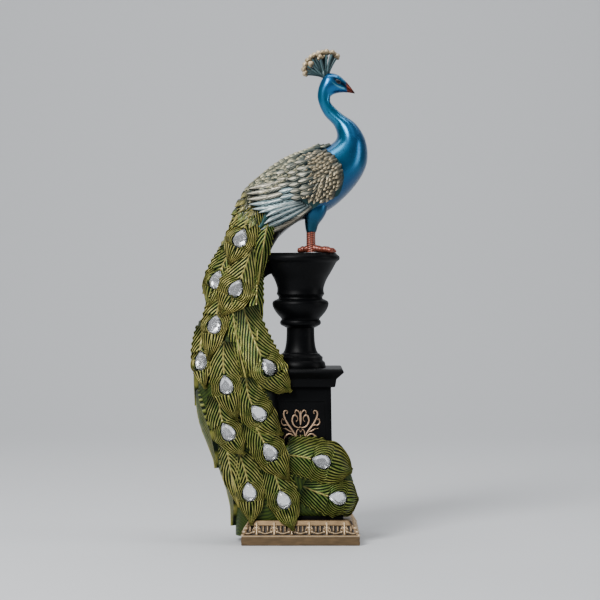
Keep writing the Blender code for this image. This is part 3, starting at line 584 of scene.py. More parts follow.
@dataclass
class Carver:
    """Lays carved feathers on a bed.

    Args:
        bed: the surface that they lie on.
        carving: what they are added to.
    """

    bed: BVHTree
    carving: Carving

    def depth(self, point: Vector, look: Vector, limit: float) -> float:
        """How deep a straight look through a point goes before it meets the bed, or the limit."""
        hit = self.bed.ray_cast(point - look * (point.dot(look) + REACH), look)[0]
        return limit if hit is None else min(hit.dot(look), limit)

    @staticmethod
    def stiffen(depths: np.ndarray, rounds: int) -> np.ndarray:
        """Let a sheet span the hollows of its bed, as a cast leaf does.

        Args:
            depths: the bed's depth over the sheet's grid.
            rounds: how far the stiffness reaches, in grid steps.

        Returns:
            The sheet's depth.
        """
        sheet = depths.copy()
        for _ in range(rounds):
            wide = np.pad(sheet, 1, mode="edge")
            mean = (wide[:-2, 1:-1] + wide[2:, 1:-1] + wide[1:-1, :-2] + wide[1:-1, 2:]) / 4
            sheet = np.minimum(depths, mean)
        return sheet

    def lay(
        self,
        look: Vector,
        spine: Sequence[Vector],
        half_width: float,
        cut: Cut,
        scheme: Scheme,
        seat: Seat | None = None,
        lean: float = 0.0,
    ) -> None:
        """Carve one feather.

        Args:
            look: the direction that it is seen from.
            spine: its root, its eye and its tip.
            half_width: half its greatest width.
            cut: how it is carved.
            scheme: its colours.
            seat: the crystal's seat, if it holds one.
            lean: how far one edge is lifted over the other.
        """
        root, eye, tip = spine
        share = cut.widest
        control = (eye - root * (1 - share) ** 2 - tip * share**2) / (2 * share * (1 - share))

        def path(t: float) -> Vector:
            return root * (1 - t) ** 2 + control * 2 * t * (1 - t) + tip * t**2

        hit, normal = self.bed.ray_cast(eye - look * (eye.dot(look) + REACH), look)[:2]
        if hit is None:
            raise ValueError("a feather misses its bed")
        limit = hit.dot(look) + half_width * cut.wrap
        up = (normal - look).normalized()
        length = sum((path((k + 1) / 12) - path(k / 12)).length for k in range(12))
        rows, columns = cut.rows, cut.columns
        flats: list[Vector] = []
        for k in range(rows + 1):
            t = k / rows
            ahead = (path(min(t + 0.01, 1)) - path(max(t - 0.01, 0))).normalized()
            side = look.cross(ahead).normalized()
            tooth = cut.teeth * (self.wave(cut.run(t) * length, 1.0, half_width, cut) - 0.5)
            for c in range(columns + 1):
                s = -1 + 2 * c / columns
                flats.append(path(t) + side * (s * half_width * cut.width(t) * (1 + tooth * s**6)))
        bare = np.array([self.depth(flat, look, limit) for flat in flats]).reshape(rows + 1, columns + 1)
        depths = self.stiffen(bare, cut.stiffness)
        points: list[Vector] = []
        paint: list[np.ndarray] = []
        for number, flat in enumerate(flats):
            k, c = divmod(number, columns + 1)
            t, s = k / rows, -1 + 2 * c / columns
            wide = half_width * cut.width(t)
            base = flat + look * (float(depths[k, c]) - flat.dot(look))
            held = 0.0
            if seat is not None:
                held = min(self.gem_half((base - seat.centre).dot(seat.ahead)), wide * 0.9)
            clear = max(abs(s) * wide - held, 0.0) / (wide - held)
            wave = self.wave(cut.run(t) * length, clear, half_width, cut) if cut.barb else 1.0
            shafted = seat is None or t < share - SHAFT_END
            shaft = math.exp(-((s * wide / SHAFT_WIDTH) ** 2)) if shafted else 0.0
            height = cut.rise * (cut.root_rise + (1 - cut.root_rise) * t) + cut.crown * (1 - s * s)
            height += cut.rachis * shaft + lean * s
            place = base + up * height
            ratio = NO_CRYSTAL
            if seat is not None:
                under = flat + look * (float(bare[k, c]) - flat.dot(look))
                place, ratio = self.seat_near(place, seat, under)
            relief = cut.barb * (wave - 0.6) * smoothstep(0.0, 0.05, t) * smoothstep(1.06, 1.18, ratio)
            place = place + up * relief
            points.append(place)
            paint.append(self.colour(scheme, wave, shaft, s, t, ratio, place))
        self.close(points, paint, rows, columns, up, cut.sink)

    @staticmethod
    def gem_half(along: float) -> float:
        """Half width of a crystal at a place along it."""
        half = PEAR.length / 2
        if abs(along) >= half:
            return 0.0
        return PEAR.width / 2 * pear_reach(math.acos(-along / half)) / PEAR_WIDEST

    @staticmethod
    def wave(run: float, clear: float, half_width: float, cut: Cut) -> float:
        """Height of the barbs at a place, from 0 in a groove to 1 on a ridge.

        Args:
            run: distance from the root, shortened past the eye so that barbs there run on to the tip.
            clear: share of the way from the shaft or the crystal to the edge.
            half_width: half the feather's greatest width.
            cut: how the feather is carved.

        Returns:
            The height.
        """
        sweep = half_width * cut.slant * clear * (0.82 + 0.18 * clear)
        phase = (run - sweep) / (cut.pitch * math.hypot(1, cut.slant))
        phase += 0.05 * math.sin(run * 330 + 4 * clear)
        return 0.5 + 0.5 * math.cos(2 * math.pi * phase)

    @staticmethod
    def seat_near(place: Vector, seat: Seat, under: Vector) -> tuple[Vector, float]:
        """Bring a point near a crystal to the crystal's level, and sink its pocket.

        Args:
            place: the point.
            seat: the crystal's seat.
            under: the bed below the point, which stays covered.

        Returns:
            The point, and how far out from the crystal it is.
        """
        off = place - seat.centre
        along, across, high = off.dot(seat.ahead), off.dot(seat.side), off.dot(seat.up)
        ratio = PEAR.ratio(along, across)
        gap = max((ratio - 1) * PEAR.width / 2, 0.0)
        level = RIM_LEVEL + BEAD_HEIGHT * math.exp(-(((gap - BEAD_PLACE) / 0.0006) ** 2))
        spread = 0.0085 if level > high else 0.0040
        target = high + (level - high) * (1 - smoothstep(BEAD_PLACE, spread, gap))
        target = max(target, min(high, (under - seat.centre).dot(seat.up) + BEAD_HEIGHT))
        if ratio < POCKET_EDGE:
            target = -POCKET_DEPTH
        return place + seat.up * (target - high), ratio

    @staticmethod
    def colour(
        scheme: Scheme,
        wave: float,
        shaft: float,
        s: float,
        t: float,
        ratio: float,
        place: Vector,
    ) -> np.ndarray:
        """The paint at one point of a feather.

        Args:
            scheme: the feather's colours.
            wave: height of its barbs there.
            shaft: height of its shaft there.
            s: place across it, from -1 to 1.
            t: place along it, from 0 to 1.
            ratio: how far out from the crystal.
            place: where it is.

        Returns:
            The colour.
        """
        slow, fast = place.x * 610 + place.z * 230, place.z * 470 - place.x * 190
        patch = 0.5 + 0.5 * math.sin(slow) * math.sin(fast)
        base = blend_colour(scheme.low, scheme.high, smoothstep(0.15, 0.95, 0.55 * t + 0.5 * abs(s)))
        gild = scheme.gilding * smoothstep(0.55, 1.0, wave) * (0.30 + 0.70 * patch)
        base = blend_colour(base, scheme.brush, gild)
        # dark wash in the barbs' grooves, deepened as painted shade
        base = blend_colour(scheme.groove, base, smoothstep(0.28, 0.84, wave))
        base = blend_colour(base, scheme.brush, 0.8 * shaft)
        # painted shade at the feather's root, where it runs under the one before
        clear = smoothstep(max(scheme.shade - 0.5, 0.0), scheme.shade, t)
        base = blend_colour(scheme.groove, base, 0.15 + 0.85 * clear)
        # painted shade along the feather's edges, where feathers overlap
        if scheme.edge_shade:
            base = blend_colour(base, scheme.groove, smoothstep(1 - scheme.edge_shade, 1.0, abs(s)))
        if ratio < 1.0:
            return np.asarray(SILVER)
        return blend_colour(scheme.groove, base, smoothstep(1.03, 1.13, ratio))

    def close(
        self, points: list[Vector], paint: list, rows: int, columns: int, up: Vector, sink: float
    ) -> None:
        """Give a grid of points its skirt and its underside.

        Args:
            points: the top's points, row by row.
            paint: their colours.
            rows: steps along.
            columns: steps across.
            up: the way that the feather faces.
            sink: how deep the underside lies below the lifted edges.
        """
        wide = columns + 1
        faces: list[tuple[int, ...]] = []
        for k in range(rows):
            for c in range(columns):
                a = k * wide + c
                faces.append((a, a + 1, a + wide + 1, a + wide))
        start = len(points)
        edges = [k * wide + c for k in range(rows + 1) for c in (0, columns)]
        points = points + [points[edge] - up * sink for edge in edges]
        # painted shade: the skirt and the underside are painted at half the edge's colour
        paint = paint + [paint[edge] * 0.5 for edge in edges]
        for k in range(rows):
            left, right = start + 2 * k, start + 2 * k + 1
            faces.append((k * wide, (k + 1) * wide, left + 2, left))
            faces.append((k * wide + columns, right, right + 2, (k + 1) * wide + columns))
            faces.append((left, left + 2, right + 2, right))
        faces.append((*range(wide), start + 1, start))
        last = rows * wide
        faces.append((*range(last + columns, last - 1, -1), start + 2 * rows, start + 2 * rows + 1))
        self.carving.add(points, faces, paint)


# The plinth


@dataclass
class Plinth:
    """Square slab with a sloping frieze of upright palmettes, in antique gold."""

    width: float = 0.085
    slab: float = 0.007
    height: float = 0.0172
    inset: float = 0.0065
    pitch: float = 0.0126
    relief: float = 0.0013
    rows: int = 46
    columns: int = 236

    def frieze(self, across: float, high: float) -> float:
        """Height of the frieze over the slope, as a share of its relief.

        Args:
            across: distance from the face's middle.
            high: share of the slope's height.

        Returns:
            The height, from 0 in the ground to 1.
        """
        u = (across / self.pitch - 0.5) % 1.0
        u = min(u, 1 - u)

        def line(off: float, half: float) -> float:
            return math.exp(-((off / half) ** 2))

        stem = line(u, 0.060) * smoothstep(0.02, 0.08, high) * (1 - smoothstep(0.74, 0.80, high))
        bud = line(u, 0.080) * line(high - 0.82, 0.11)
        arms = line(high - 0.52 - 1.1 * (u - 0.06), 0.055) * (1 - smoothstep(0.13, 0.17, u))
        ring = math.hypot((u - 0.15) * 2.6, high - 0.36) - 0.13
        curl = line(ring, 0.065) * smoothstep(0.03, 0.06, u)
        tooth = line(u - 0.375, 0.042) * smoothstep(0.26, 0.30, high) * (1 - smoothstep(0.60, 0.68, high))
        swag = line(high - 0.25 + 0.11 * smoothstep(0.10, 0.5, u), 0.050) * smoothstep(0.10, 0.15, u)
        band = smoothstep(0.64, 0.70, high) * 0.5
        foot = (1 - smoothstep(0.02, 0.05, high)) * 0.5
        return min(max(stem, bud, arms, curl, tooth * 0.85, swag * 0.85, band, foot), 1.0)

    @staticmethod
    def gilt(lift: float, across: float, z: float, turn: int) -> np.ndarray:
        """The worn gilding: dark in the ground, streaked on the flats, cream on the highest carving.

        Args:
            lift: height of the carving, from 0 to 1.
            across: distance from the face's middle.
            z: height over the table.
            turn: which of the four sides.

        Returns:
            The colour.
        """
        sway = math.sin(across * 150 + 8 * math.sin(z * 950 + turn))
        streak = 0.5 + 0.5 * sway * math.sin(z * 5200 + 2 * math.sin(across * 240))
        base = blend_colour(GOLD_WASH, ANTIQUE_GOLD, 0.75 * smoothstep(0.08, 0.50, lift))
        base = blend_colour(base, GOLD_WASH, 0.35 * streak * (1 - smoothstep(0.5, 0.8, lift)))
        return blend_colour(base, CREAM_GOLD, 0.8 * smoothstep(0.60, 0.95, lift))

    def build(self) -> bpy.types.Object:
        """Loft the slab and the carved slope.

        Returns:
            The plinth's piece.
        """
        half, top = self.width / 2, self.width / 2 - self.inset
        rings: list[Ring] = []
        paint: list[np.ndarray] = []

        def ring(size: float, z: float, high: float | None, plain_lift: float = 0.3) -> None:
            slope = Vector((0, -(self.height - self.slab), self.inset)).normalized()
            points: Ring = []
            for turn in range(4):
                c, s = (1, 0, -1, 0)[turn], (0, 1, 0, -1)[turn]
                for k in range(self.columns):
                    across = (-1 + 2 * k / self.columns) * size
                    carved = 0.0 if high is None else self.frieze(across, high)
                    mitre = min(1.0, (size - abs(across)) / 0.0022)
                    leaf = math.exp(-(((size - abs(across)) / 0.0014) ** 2))
                    lift = carved * mitre
                    if high is not None:
                        ripple = 0.7 + 0.3 * math.cos(high * 26)
                        lift = max(lift, leaf * (1 - smoothstep(0.55, 0.8, high)) * ripple)
                    point = Vector((across, -size, z)) + slope * (lift * self.relief)
                    points.append(Vector((point.x * c - point.y * s, point.x * s + point.y * c, point.z)))
                    paint.append(self.gilt(plain_lift if high is None else lift, across, z, turn))
            rings.append(points)

        edge = 0.0006
        ring(half - edge, 0.0, None)
        for step in range(9):
            ring(half, edge + (self.slab - 0.0014) * step / 8, None)
        # painted highlight along the slab's top edge, which takes a high lift in the gilding
        ring(half - 0.0003, self.slab - 0.0002, None, 0.85)
        for row in range(self.rows + 1):
            high = row / self.rows
            z = self.slab + (self.height - self.slab) * high * 0.985
            ring(half - edge + (top - half + edge) * high, z, high)
        ring(top - edge, self.height, None)
        made = Carving()
        made.loft(rings, paint[0])
        made.paint = paint
        gold = Finish("antique_gold", metallic=0.45)
        return made.piece("plinth_gilded", gold, 70.0)


# The pedestal and its scrollwork


def deselect_all() -> None:
    """Leave object mode with nothing selected."""
    if bpy.context.mode != "OBJECT":
        bpy.ops.object.mode_set(mode="OBJECT")
    bpy.ops.object.select_all(action="DESELECT")


def hold(made: bpy.types.Object) -> None:
    """Make an object the only one selected and active."""
    deselect_all()
    made.select_set(True)
    bpy.context.view_layer.objects.active = made


def face_out(made: bpy.types.Object) -> None:
    """Turn an object's faces outward."""
    hold(made)
    bpy.ops.object.mode_set(mode="EDIT")
    bpy.ops.mesh.select_all(action="SELECT")
    bpy.ops.mesh.normals_make_consistent(inside=False)
    bpy.ops.object.mode_set(mode="OBJECT")


def bevel(made: bpy.types.Object, width: float) -> None:
    """Round an object's sharp edges."""
    modifier = made.modifiers.new("rounding", "BEVEL")
    modifier.width = width
    modifier.segments = 3
    modifier.limit_method = "ANGLE"
    modifier.angle_limit = math.radians(30)
    hold(made)
    bpy.ops.object.modifier_apply(modifier=modifier.name)


def join_into(name: str, *objects: bpy.types.Object) -> bpy.types.Object:
    """Join objects into the first, and name it."""
    deselect_all()
    for made in objects:
        made.select_set(True)
    bpy.context.view_layer.objects.active = objects[0]
    bpy.ops.object.join()
    objects[0].name = name
    objects[0].data.name = name
    return objects[0]


@dataclass
class Pedestal:
    """Black tapered pedestal with sunk panels and a stepped cap."""

    foot_width: float = 0.062
    foot_height: float = 0.008
    shaft_width: float = 0.047
    shaft_top: float = 0.0444
    panel_width: float = 0.030
    panel_margin: float = 0.014
    panel_depth: float = 0.0009
    neck_width: float = 0.0508
    neck_height: float = 0.0058
    cap_width: float = 0.0626
    edge: float = 0.0025

    def block(self, name: str, steps: Sequence[tuple[float, float]]) -> bpy.types.Object:
        """A square block whose width changes from height to height.

        Args:
            name: its name.
            steps: pairs of width and height, from its foot.

        Returns:
            The block.
        """
        deselect_all()
        bpy.ops.mesh.primitive_plane_add(size=1.0, location=(0, 0, 0))
        made = bpy.context.active_object
        made.name = name
        bpy.ops.object.mode_set(mode="EDIT")
        bpy.ops.mesh.select_all(action="SELECT")
        width, z = steps[0]
        bpy.ops.transform.resize(value=(width, width, 1))
        bpy.ops.transform.translate(value=(0, 0, z))
        for wider, higher in steps[1:]:
            bpy.ops.mesh.extrude_region_move(TRANSFORM_OT_translate={"value": (0, 0, higher - z)})
            bpy.ops.transform.resize(value=(wider / width, wider / width, 1))
            width, z = wider, higher
        face_out(made)
        return made

    def sink_panels(self, shaft: bpy.types.Object) -> None:
        """Inset a sunk, moulded panel in each of the shaft's long faces."""
        shape = bmesh.new()
        shape.from_mesh(shaft.data)
        low = DATUM.plinth_top + self.foot_height + self.panel_margin
        sides = [f for f in shape.faces if abs(f.normal.z) < 0.3 and f.calc_center_median().z > low]
        for face in sides:
            margin = (self.shaft_top - self.panel_width) / 2 - 0.0012
            bmesh.ops.inset_region(shape, faces=[face], thickness=margin)
            middle = face.calc_center_median()
            for vertex in face.verts:
                far = abs(vertex.co.z - middle.z)
                vertex.co.z = middle.z + math.copysign(far - 0.0066, vertex.co.z - middle.z)
            bmesh.ops.inset_region(shape, faces=[face], thickness=0.0012, depth=-self.panel_depth)
        shape.to_mesh(shaft.data)
        shape.free()

    def build(self) -> bpy.types.Object:
        """Model foot, shaft and cap.

        Returns:
            The pedestal's piece.
        """
        low = DATUM.plinth_top
        step = (self.foot_width - self.shaft_width) / 2
        foot_top = low + self.foot_height
        foot = self.block(
            "foot",
            [
                (self.foot_width, low - 0.0006),
                (self.foot_width, foot_top - step * 0.7),
                (self.shaft_width + step * 0.9, foot_top - step * 0.4),
                (self.shaft_width + step * 0.5, foot_top),
                (self.shaft_width - 0.004, foot_top + 0.0006),
            ],
        )
        steps = [(self.shaft_width, foot_top - 0.002), (self.shaft_top, DATUM.shaft_top + 0.0006)]
        shaft = self.block("shaft", steps)
        self.sink_panels(shaft)
        neck_top = DATUM.shaft_top + self.neck_height
        rise = DATUM.cap_top - neck_top
        cap = self.block(
            "cap",
            [
                (self.neck_width - 0.001, DATUM.shaft_top),
                (self.neck_width, DATUM.shaft_top + 0.0012),
                (self.neck_width + self.edge * 0.5, neck_top),
                ((self.neck_width + self.cap_width) / 2, neck_top + rise * 0.3),
                (self.cap_width, DATUM.cap_top - self.edge),
                (self.cap_width, DATUM.cap_top - self.edge * 0.7),
                (self.cap_width - self.edge, DATUM.cap_top),
            ],
        )
        for block in (foot, shaft, cap):
            bevel(block, 0.00045)
        made = join_into("pedestal_black", foot, shaft, cap)
        made.data.materials.clear()
        made.data.materials.append(black_finish("satin_black").material())
        hold(made)
        bpy.ops.object.shade_smooth_by_angle(angle=math.radians(35))
        return made


@dataclass
class Scrollwork:
    """Raised leafy scrolls on the front panel, dry-brushed in rose gold."""

    width: float = 0.0290
    height: float = 0.0317
    bottom: float = 0.0642
    stroke: float = 0.00052
    face: float = -0.0231

    def strokes(self) -> list[tuple[list[tuple[float, float]], float]]:
        """The right half's strokes, in shares of the half width and height, each with its weight."""
        inner = [(0, 0.62), (0.10, 0.60), (0.30, 0.64), (0.42, 0.76)]
        inner += [(0.34, 0.88), (0.18, 0.86), (0.14, 0.78), (0.22, 0.74)]
        upper = [(0.02, 0.10), (0.16, 0.32), (0.38, 0.52), (0.66, 0.70)]
        upper += [(0.84, 0.88), (0.80, 0.98), (0.66, 0.98), (0.68, 0.92)]
        lower = [(0.08, 0.16), (0.30, 0.38), (0.56, 0.46), (0.82, 0.36), (0.94, 0.16)]
        lower += [(0.84, 0.00), (0.64, 0.04), (0.56, 0.18), (0.66, 0.26)]
        return [
            ([(0, 0.02), (0, 0.30), (0, 0.44)], 1.4),
            ([(0, 0.44), (0.05, 0.30), (0.20, 0.34), (0.20, 0.50), (0.10, 0.56), (0.0, 0.50)], 0.9),
            (inner, 1.1),
            ([(0, 0.66), (0, 0.84), (0, 0.98)], 1.5),
            ([(0.0, 0.86), (0.08, 0.96), (0.20, 1.0), (0.28, 0.95), (0.24, 0.90)], 0.9),
            (upper, 1.2),
            ([(0.52, 0.62), (0.70, 0.66), (0.86, 0.66), (0.96, 0.72), (0.92, 0.80), (0.84, 0.78)], 1.0),
            ([(0.40, 0.50), (0.58, 0.53), (0.72, 0.57), (0.88, 0.58)], 0.9),
            (lower, 1.2),
            ([(0.10, 0.08), (0.28, 0.20), (0.44, 0.24), (0.52, 0.12), (0.42, 0.04)], 0.9),
            ([(0.06, 0.02), (0.20, 0.06), (0.30, 0.00)], 0.8),
        ]

    def build(self) -> bpy.types.Object:
        """Sweep every stroke along the panel.

        Returns:
            The scrollwork's piece.
        """
        made = Carving()
        lean = (Pedestal.shaft_width - Pedestal.shaft_top) / 2 / (DATUM.shaft_top - DATUM.plinth_top)
        high = blend_colour(ANTIQUE_GOLD, ROSE_GOLD, 0.6)

        def ground(z: float) -> float:
            return self.face + lean * (z - DATUM.plinth_top)

        def shade(point: Vector) -> np.ndarray:
            return blend_colour(GOLD_WASH, high, smoothstep(-0.0002, 0.0007, ground(point.z) - point.y))

        for stroke, weight in self.strokes():
            for hand in (-1, 1):
                if hand < 0 and all(u == 0 for u, _ in stroke):
                    continue
                line = smooth_rows(stroke, 6)
                points, radii = [], []
                for i, (u, v) in enumerate(line):
                    z = self.bottom + v * self.height
                    points.append(Vector((hand * u * self.width / 2, ground(z), z)))
                    share = i / (len(line) - 1)
                    swell = 0.55 + 0.6 * math.sin(math.pi * min(share * 1.15, 1.0))
                    swell += 0.25 * smoothstep(0.9, 1.0, share)
                    radii.append(self.stroke * weight * swell)
                made.loft(tube_rings(points, radii, 8), shade)
        gold = Finish("rose_gold", metallic=0.6, specular=0.3)
        return made.piece("scrollwork_gilded", gold, 60.0)


@dataclass
class Urn:
    """Turned black urn with a web that joins its rim to the train."""

    height: float = 0.0843
    foot: float = 0.0186
    neck: float = 0.0102
    bowl: float = 0.0208
    rim: float = 0.0290
    segments: int = 112

    def profile(self) -> list[tuple[float, float]]:
        """The turned outline from foot to rim, as radius and height above the cap."""
        foot, neck, bowl, rim = self.foot, self.neck, self.bowl, self.rim
        low = [(foot * 0.99, -0.006), (foot, 0.012), (foot * 0.97, 0.045), (foot * 0.88, 0.062)]
        low += [(foot * 0.88, 0.092), (foot * 0.79, 0.108)]
        for k in range(0, 12):
            turn = math.pi / 2 * k / 12
            radius = neck + (foot * 0.76 - neck) * (1 - math.sin(turn)) ** 1.3
            low.append((radius, 0.12 + 0.23 * (1 - math.cos(turn))))
        bead = [(neck, 0.345), (neck * 1.22, 0.358)]
        for k in range(-4, 5):
            turn = math.pi / 2 * k / 5
            bead.append((neck * 1.30 + neck * 0.18 * math.cos(turn), 0.392 + 0.026 * math.sin(turn)))
        swell = [(neck * 1.40, 0.430), (bowl * 0.86, 0.478), (bowl * 0.97, 0.525), (bowl, 0.560)]
        curve = [tuple(p) for p in smooth_rows(swell, 4)]
        groove = [(bowl * 0.97, 0.578), (bowl * 0.90, 0.588), (bowl * 0.79, 0.600)]
        groove += [(bowl * 0.77, 0.612), (bowl * 0.80, 0.626)]
        rows = [(bowl * 0.845, 0.640), (bowl * 0.82, 0.690), (bowl * 0.92, 0.765)]
        rows += [(rim * 0.776, 0.834), (rim * 0.90, 0.912)]
        flare = [tuple(p) for p in smooth_rows(rows, 5)]
        lip = [(rim * 0.93, 0.925), (rim * 0.985, 0.938), (rim, 0.955), (rim * 0.985, 0.972)]
        lip += [(rim * 0.93, 0.985), (rim * 0.90, 1.0), (rim * 0.84, 1.0), (rim * 0.80, 0.992)]
        return [(r, share * self.height) for r, share in low + bead + curve + groove + flare + lip]

    def build(self) -> bpy.types.Object:
        """Spin the profile, and add the web.

        Returns:
            The urn's piece.
        """
        profile = self.profile()
        profile = [(0.0, profile[0][1]), *profile, (0.0, profile[-1][1])]
        points = [(radius, 0.0, DATUM.cap_top + high) for radius, high in profile]
        made = link_mesh("urn_black", points, [(i, i + 1) for i in range(len(points) - 1)], [])
        hold(made)
        bpy.ops.object.mode_set(mode="EDIT")
        bpy.ops.mesh.select_all(action="SELECT")
        bpy.ops.mesh.spin(steps=self.segments, angle=2 * math.pi, center=(0, 0, 0), axis=(0, 0, 1))
        bpy.ops.mesh.select_all(action="SELECT")
        bpy.ops.mesh.remove_doubles(threshold=0.00001)
        face_out(made)
        made.data.materials.append(black_finish("satin_black_urn").material())
        web = self.web()
        web.data.materials.append(made.data.materials[0])
        joined = join_into("urn_black", made, web)
        hold(joined)
        bpy.ops.object.shade_smooth_by_angle(angle=math.radians(40))
        return joined

    def web(self) -> bpy.types.Object:
        """The curved web between the rim and the train."""
        inner = -18.8 * DATUM.unit - 0.10 * DATUM.bird_height
        high = DATUM.stand - 0.03 * self.height
        low = high - 0.0150
        outline = [(inner, high), (inner, low - 0.0135)]
        for k in range(9):
            share = k / 8
            z = low - 0.0040 + 0.0062 * math.sin(math.pi / 2 * share)
            outline.append((-self.rim * (1.02 - 0.32 * share), z))
        outline += [(-self.rim * 0.6, high)]
        points = [(x, y, z) for y in (-0.0055, 0.0055) for x, z in outline]
        count = len(outline)
        faces = [tuple(range(count)), tuple(range(2 * count - 1, count - 1, -1))]
        faces += [(i, i + count, (i + 1) % count + count, (i + 1) % count) for i in range(count)]
        made = link_mesh("rim_web", points, [], faces)
        face_out(made)
        return made


# The bird


BIRD_ROWS = [
    (26.6, 78.4, 26.5, 78.0, 0.3),
    (24.6, 81.2, 24.0, 78.4, 1.4),
    (21.9, 84.3, 20.6, 78.5, 2.9),
    (17.8, 87.4, 17.2, 78.0, 4.0),
    (12.8, 87.6, 15.0, 76.8, 4.2),
    (9.4, 82.6, 14.6, 75.4, 3.8),
    (8.4, 75.6, 15.2, 73.0, 3.5),
    (11.4, 68.0, 20.1, 68.3, 4.0),
    (16.8, 61.6, 27.4, 62.8, 6.1),
    (17.3, 55.4, 32.2, 54.0, 9.8),
    (9.6, 50.5, 32.2, 42.6, 13.6),
    (-3.7, 46.2, 25.3, 31.1, 16.3),
    (-17.1, 37.6, 13.0, 20.4, 17.0),
    (-27.2, 26.6, -1.7, 14.9, 15.8),
    (-33.0, 13.5, -12.0, 6.5, 13.8),
]

TRAIN_ROWS = [
    (-25.5, 122.0, -3.0, 114.0, 0, 14.0, 14.0),
    (-34.0, 107.0, -14.5, 101.0, 0, 14.5, 14.5),
    (-44.6, 87.0, -18.8, 86.0, 0, 14.5, 14.5),
    (-48.6, 69.0, -18.0, 69.5, -4, 16.0, 14.5),
    (-49.8, 53.0, -12.0, 54.0, -9, 16.0, 14.0),
    (-47.6, 37.5, -9.5, 38.0, -9, 15.0, 14.0),
    (-39.4, 21.5, -4.5, 21.0, -9, 15.5, 14.0),
    (-32.6, 6.0, -2.0, 5.5, -8, 15.5, 13.0),
    (-31.6, -6.6, -4.0, -4.6, -7, 14.0, 12.0),
]

SWEEP_ROWS = [
    (-16.0, 23.0, 4.0, -16, 6, 8),
    (-5.0, 28.4, 1.6, -18.4, 4.6, 9),
    (7.0, 28.6, 1.2, -19, 4.2, 10),
    (17.0, 25.8, 1.4, -18.6, 3.8, 9),
    (23.0, 19.4, 3.6, -16, 3.4, 7),
    (25.6, 14.0, 8.4, -13, 2, 4),
]


def bird_rings(sides: int, steps: int) -> list[Ring]:
    """Rings of beak, head, neck, body and rump."""
    rings = []
    for row in smooth_rows(BIRD_ROWS, steps):
        upper, lower = DATUM.bird(*row[0:2]), DATUM.bird(*row[2:4])
        width = Vector((0, row[4] * DATUM.unit, 0))
        rings.append(oval((upper + lower) / 2, (upper - lower) / 2, width, width, sides, 2.0))
    return rings


def train_rings(sides: int, steps: int) -> list[Ring]:
    """Rings of the train's core."""
    rings = []
    for row in smooth_rows(TRAIN_ROWS, steps):
        outer, inner = DATUM.train(row[0], row[1], row[4]), DATUM.train(row[2], row[3], row[4])
        front, back = (Vector((0, -swell * DATUM.unit, 0)) for swell in row[5:7])
        rings.append(oval((outer + inner) / 2, (inner - outer) / 2, front, back, sides, 2.5))
    return rings


def sweep_rings(sides: int, steps: int) -> list[Ring]:
    """Rings of the train's sweep across the pedestal."""
    rings = []
    for row in smooth_rows(SWEEP_ROWS, steps):
        top, low = DATUM.train(row[0], row[1], row[3]), DATUM.train(row[0], row[2], row[3])
        front, back = (Vector((0, -swell * DATUM.unit, 0)) for swell in row[4:6])
        rings.append(oval((top + low) / 2, (top - low) / 2, front, back, sides, 3.0))
    return rings


PLINTH_STEPS = ((0.085, 0.0), (0.085, 0.007), (0.072, 0.0172), (0.001, 0.0173))
CAP_STEPS = (
    (0.0508, 0.1127),
    (0.0520, 0.1185),
    (0.0567, 0.12075),
    (0.0626, 0.1235),
    (0.0601, 0.1260),
    (0.001, 0.1261),
)


def square_rings(steps: Sequence[tuple[float, float]]) -> list[Ring]:
    """Square rings of a width and a height each, a plain bed for feathers that hang over."""
    corners = ((1, 1), (-1, 1), (-1, -1), (1, -1))
    return [[Vector((width / 2 * a, width / 2 * b, z)) for a, b in corners] for width, z in steps]


BED_SIDES = 48
BED_STEPS = 6


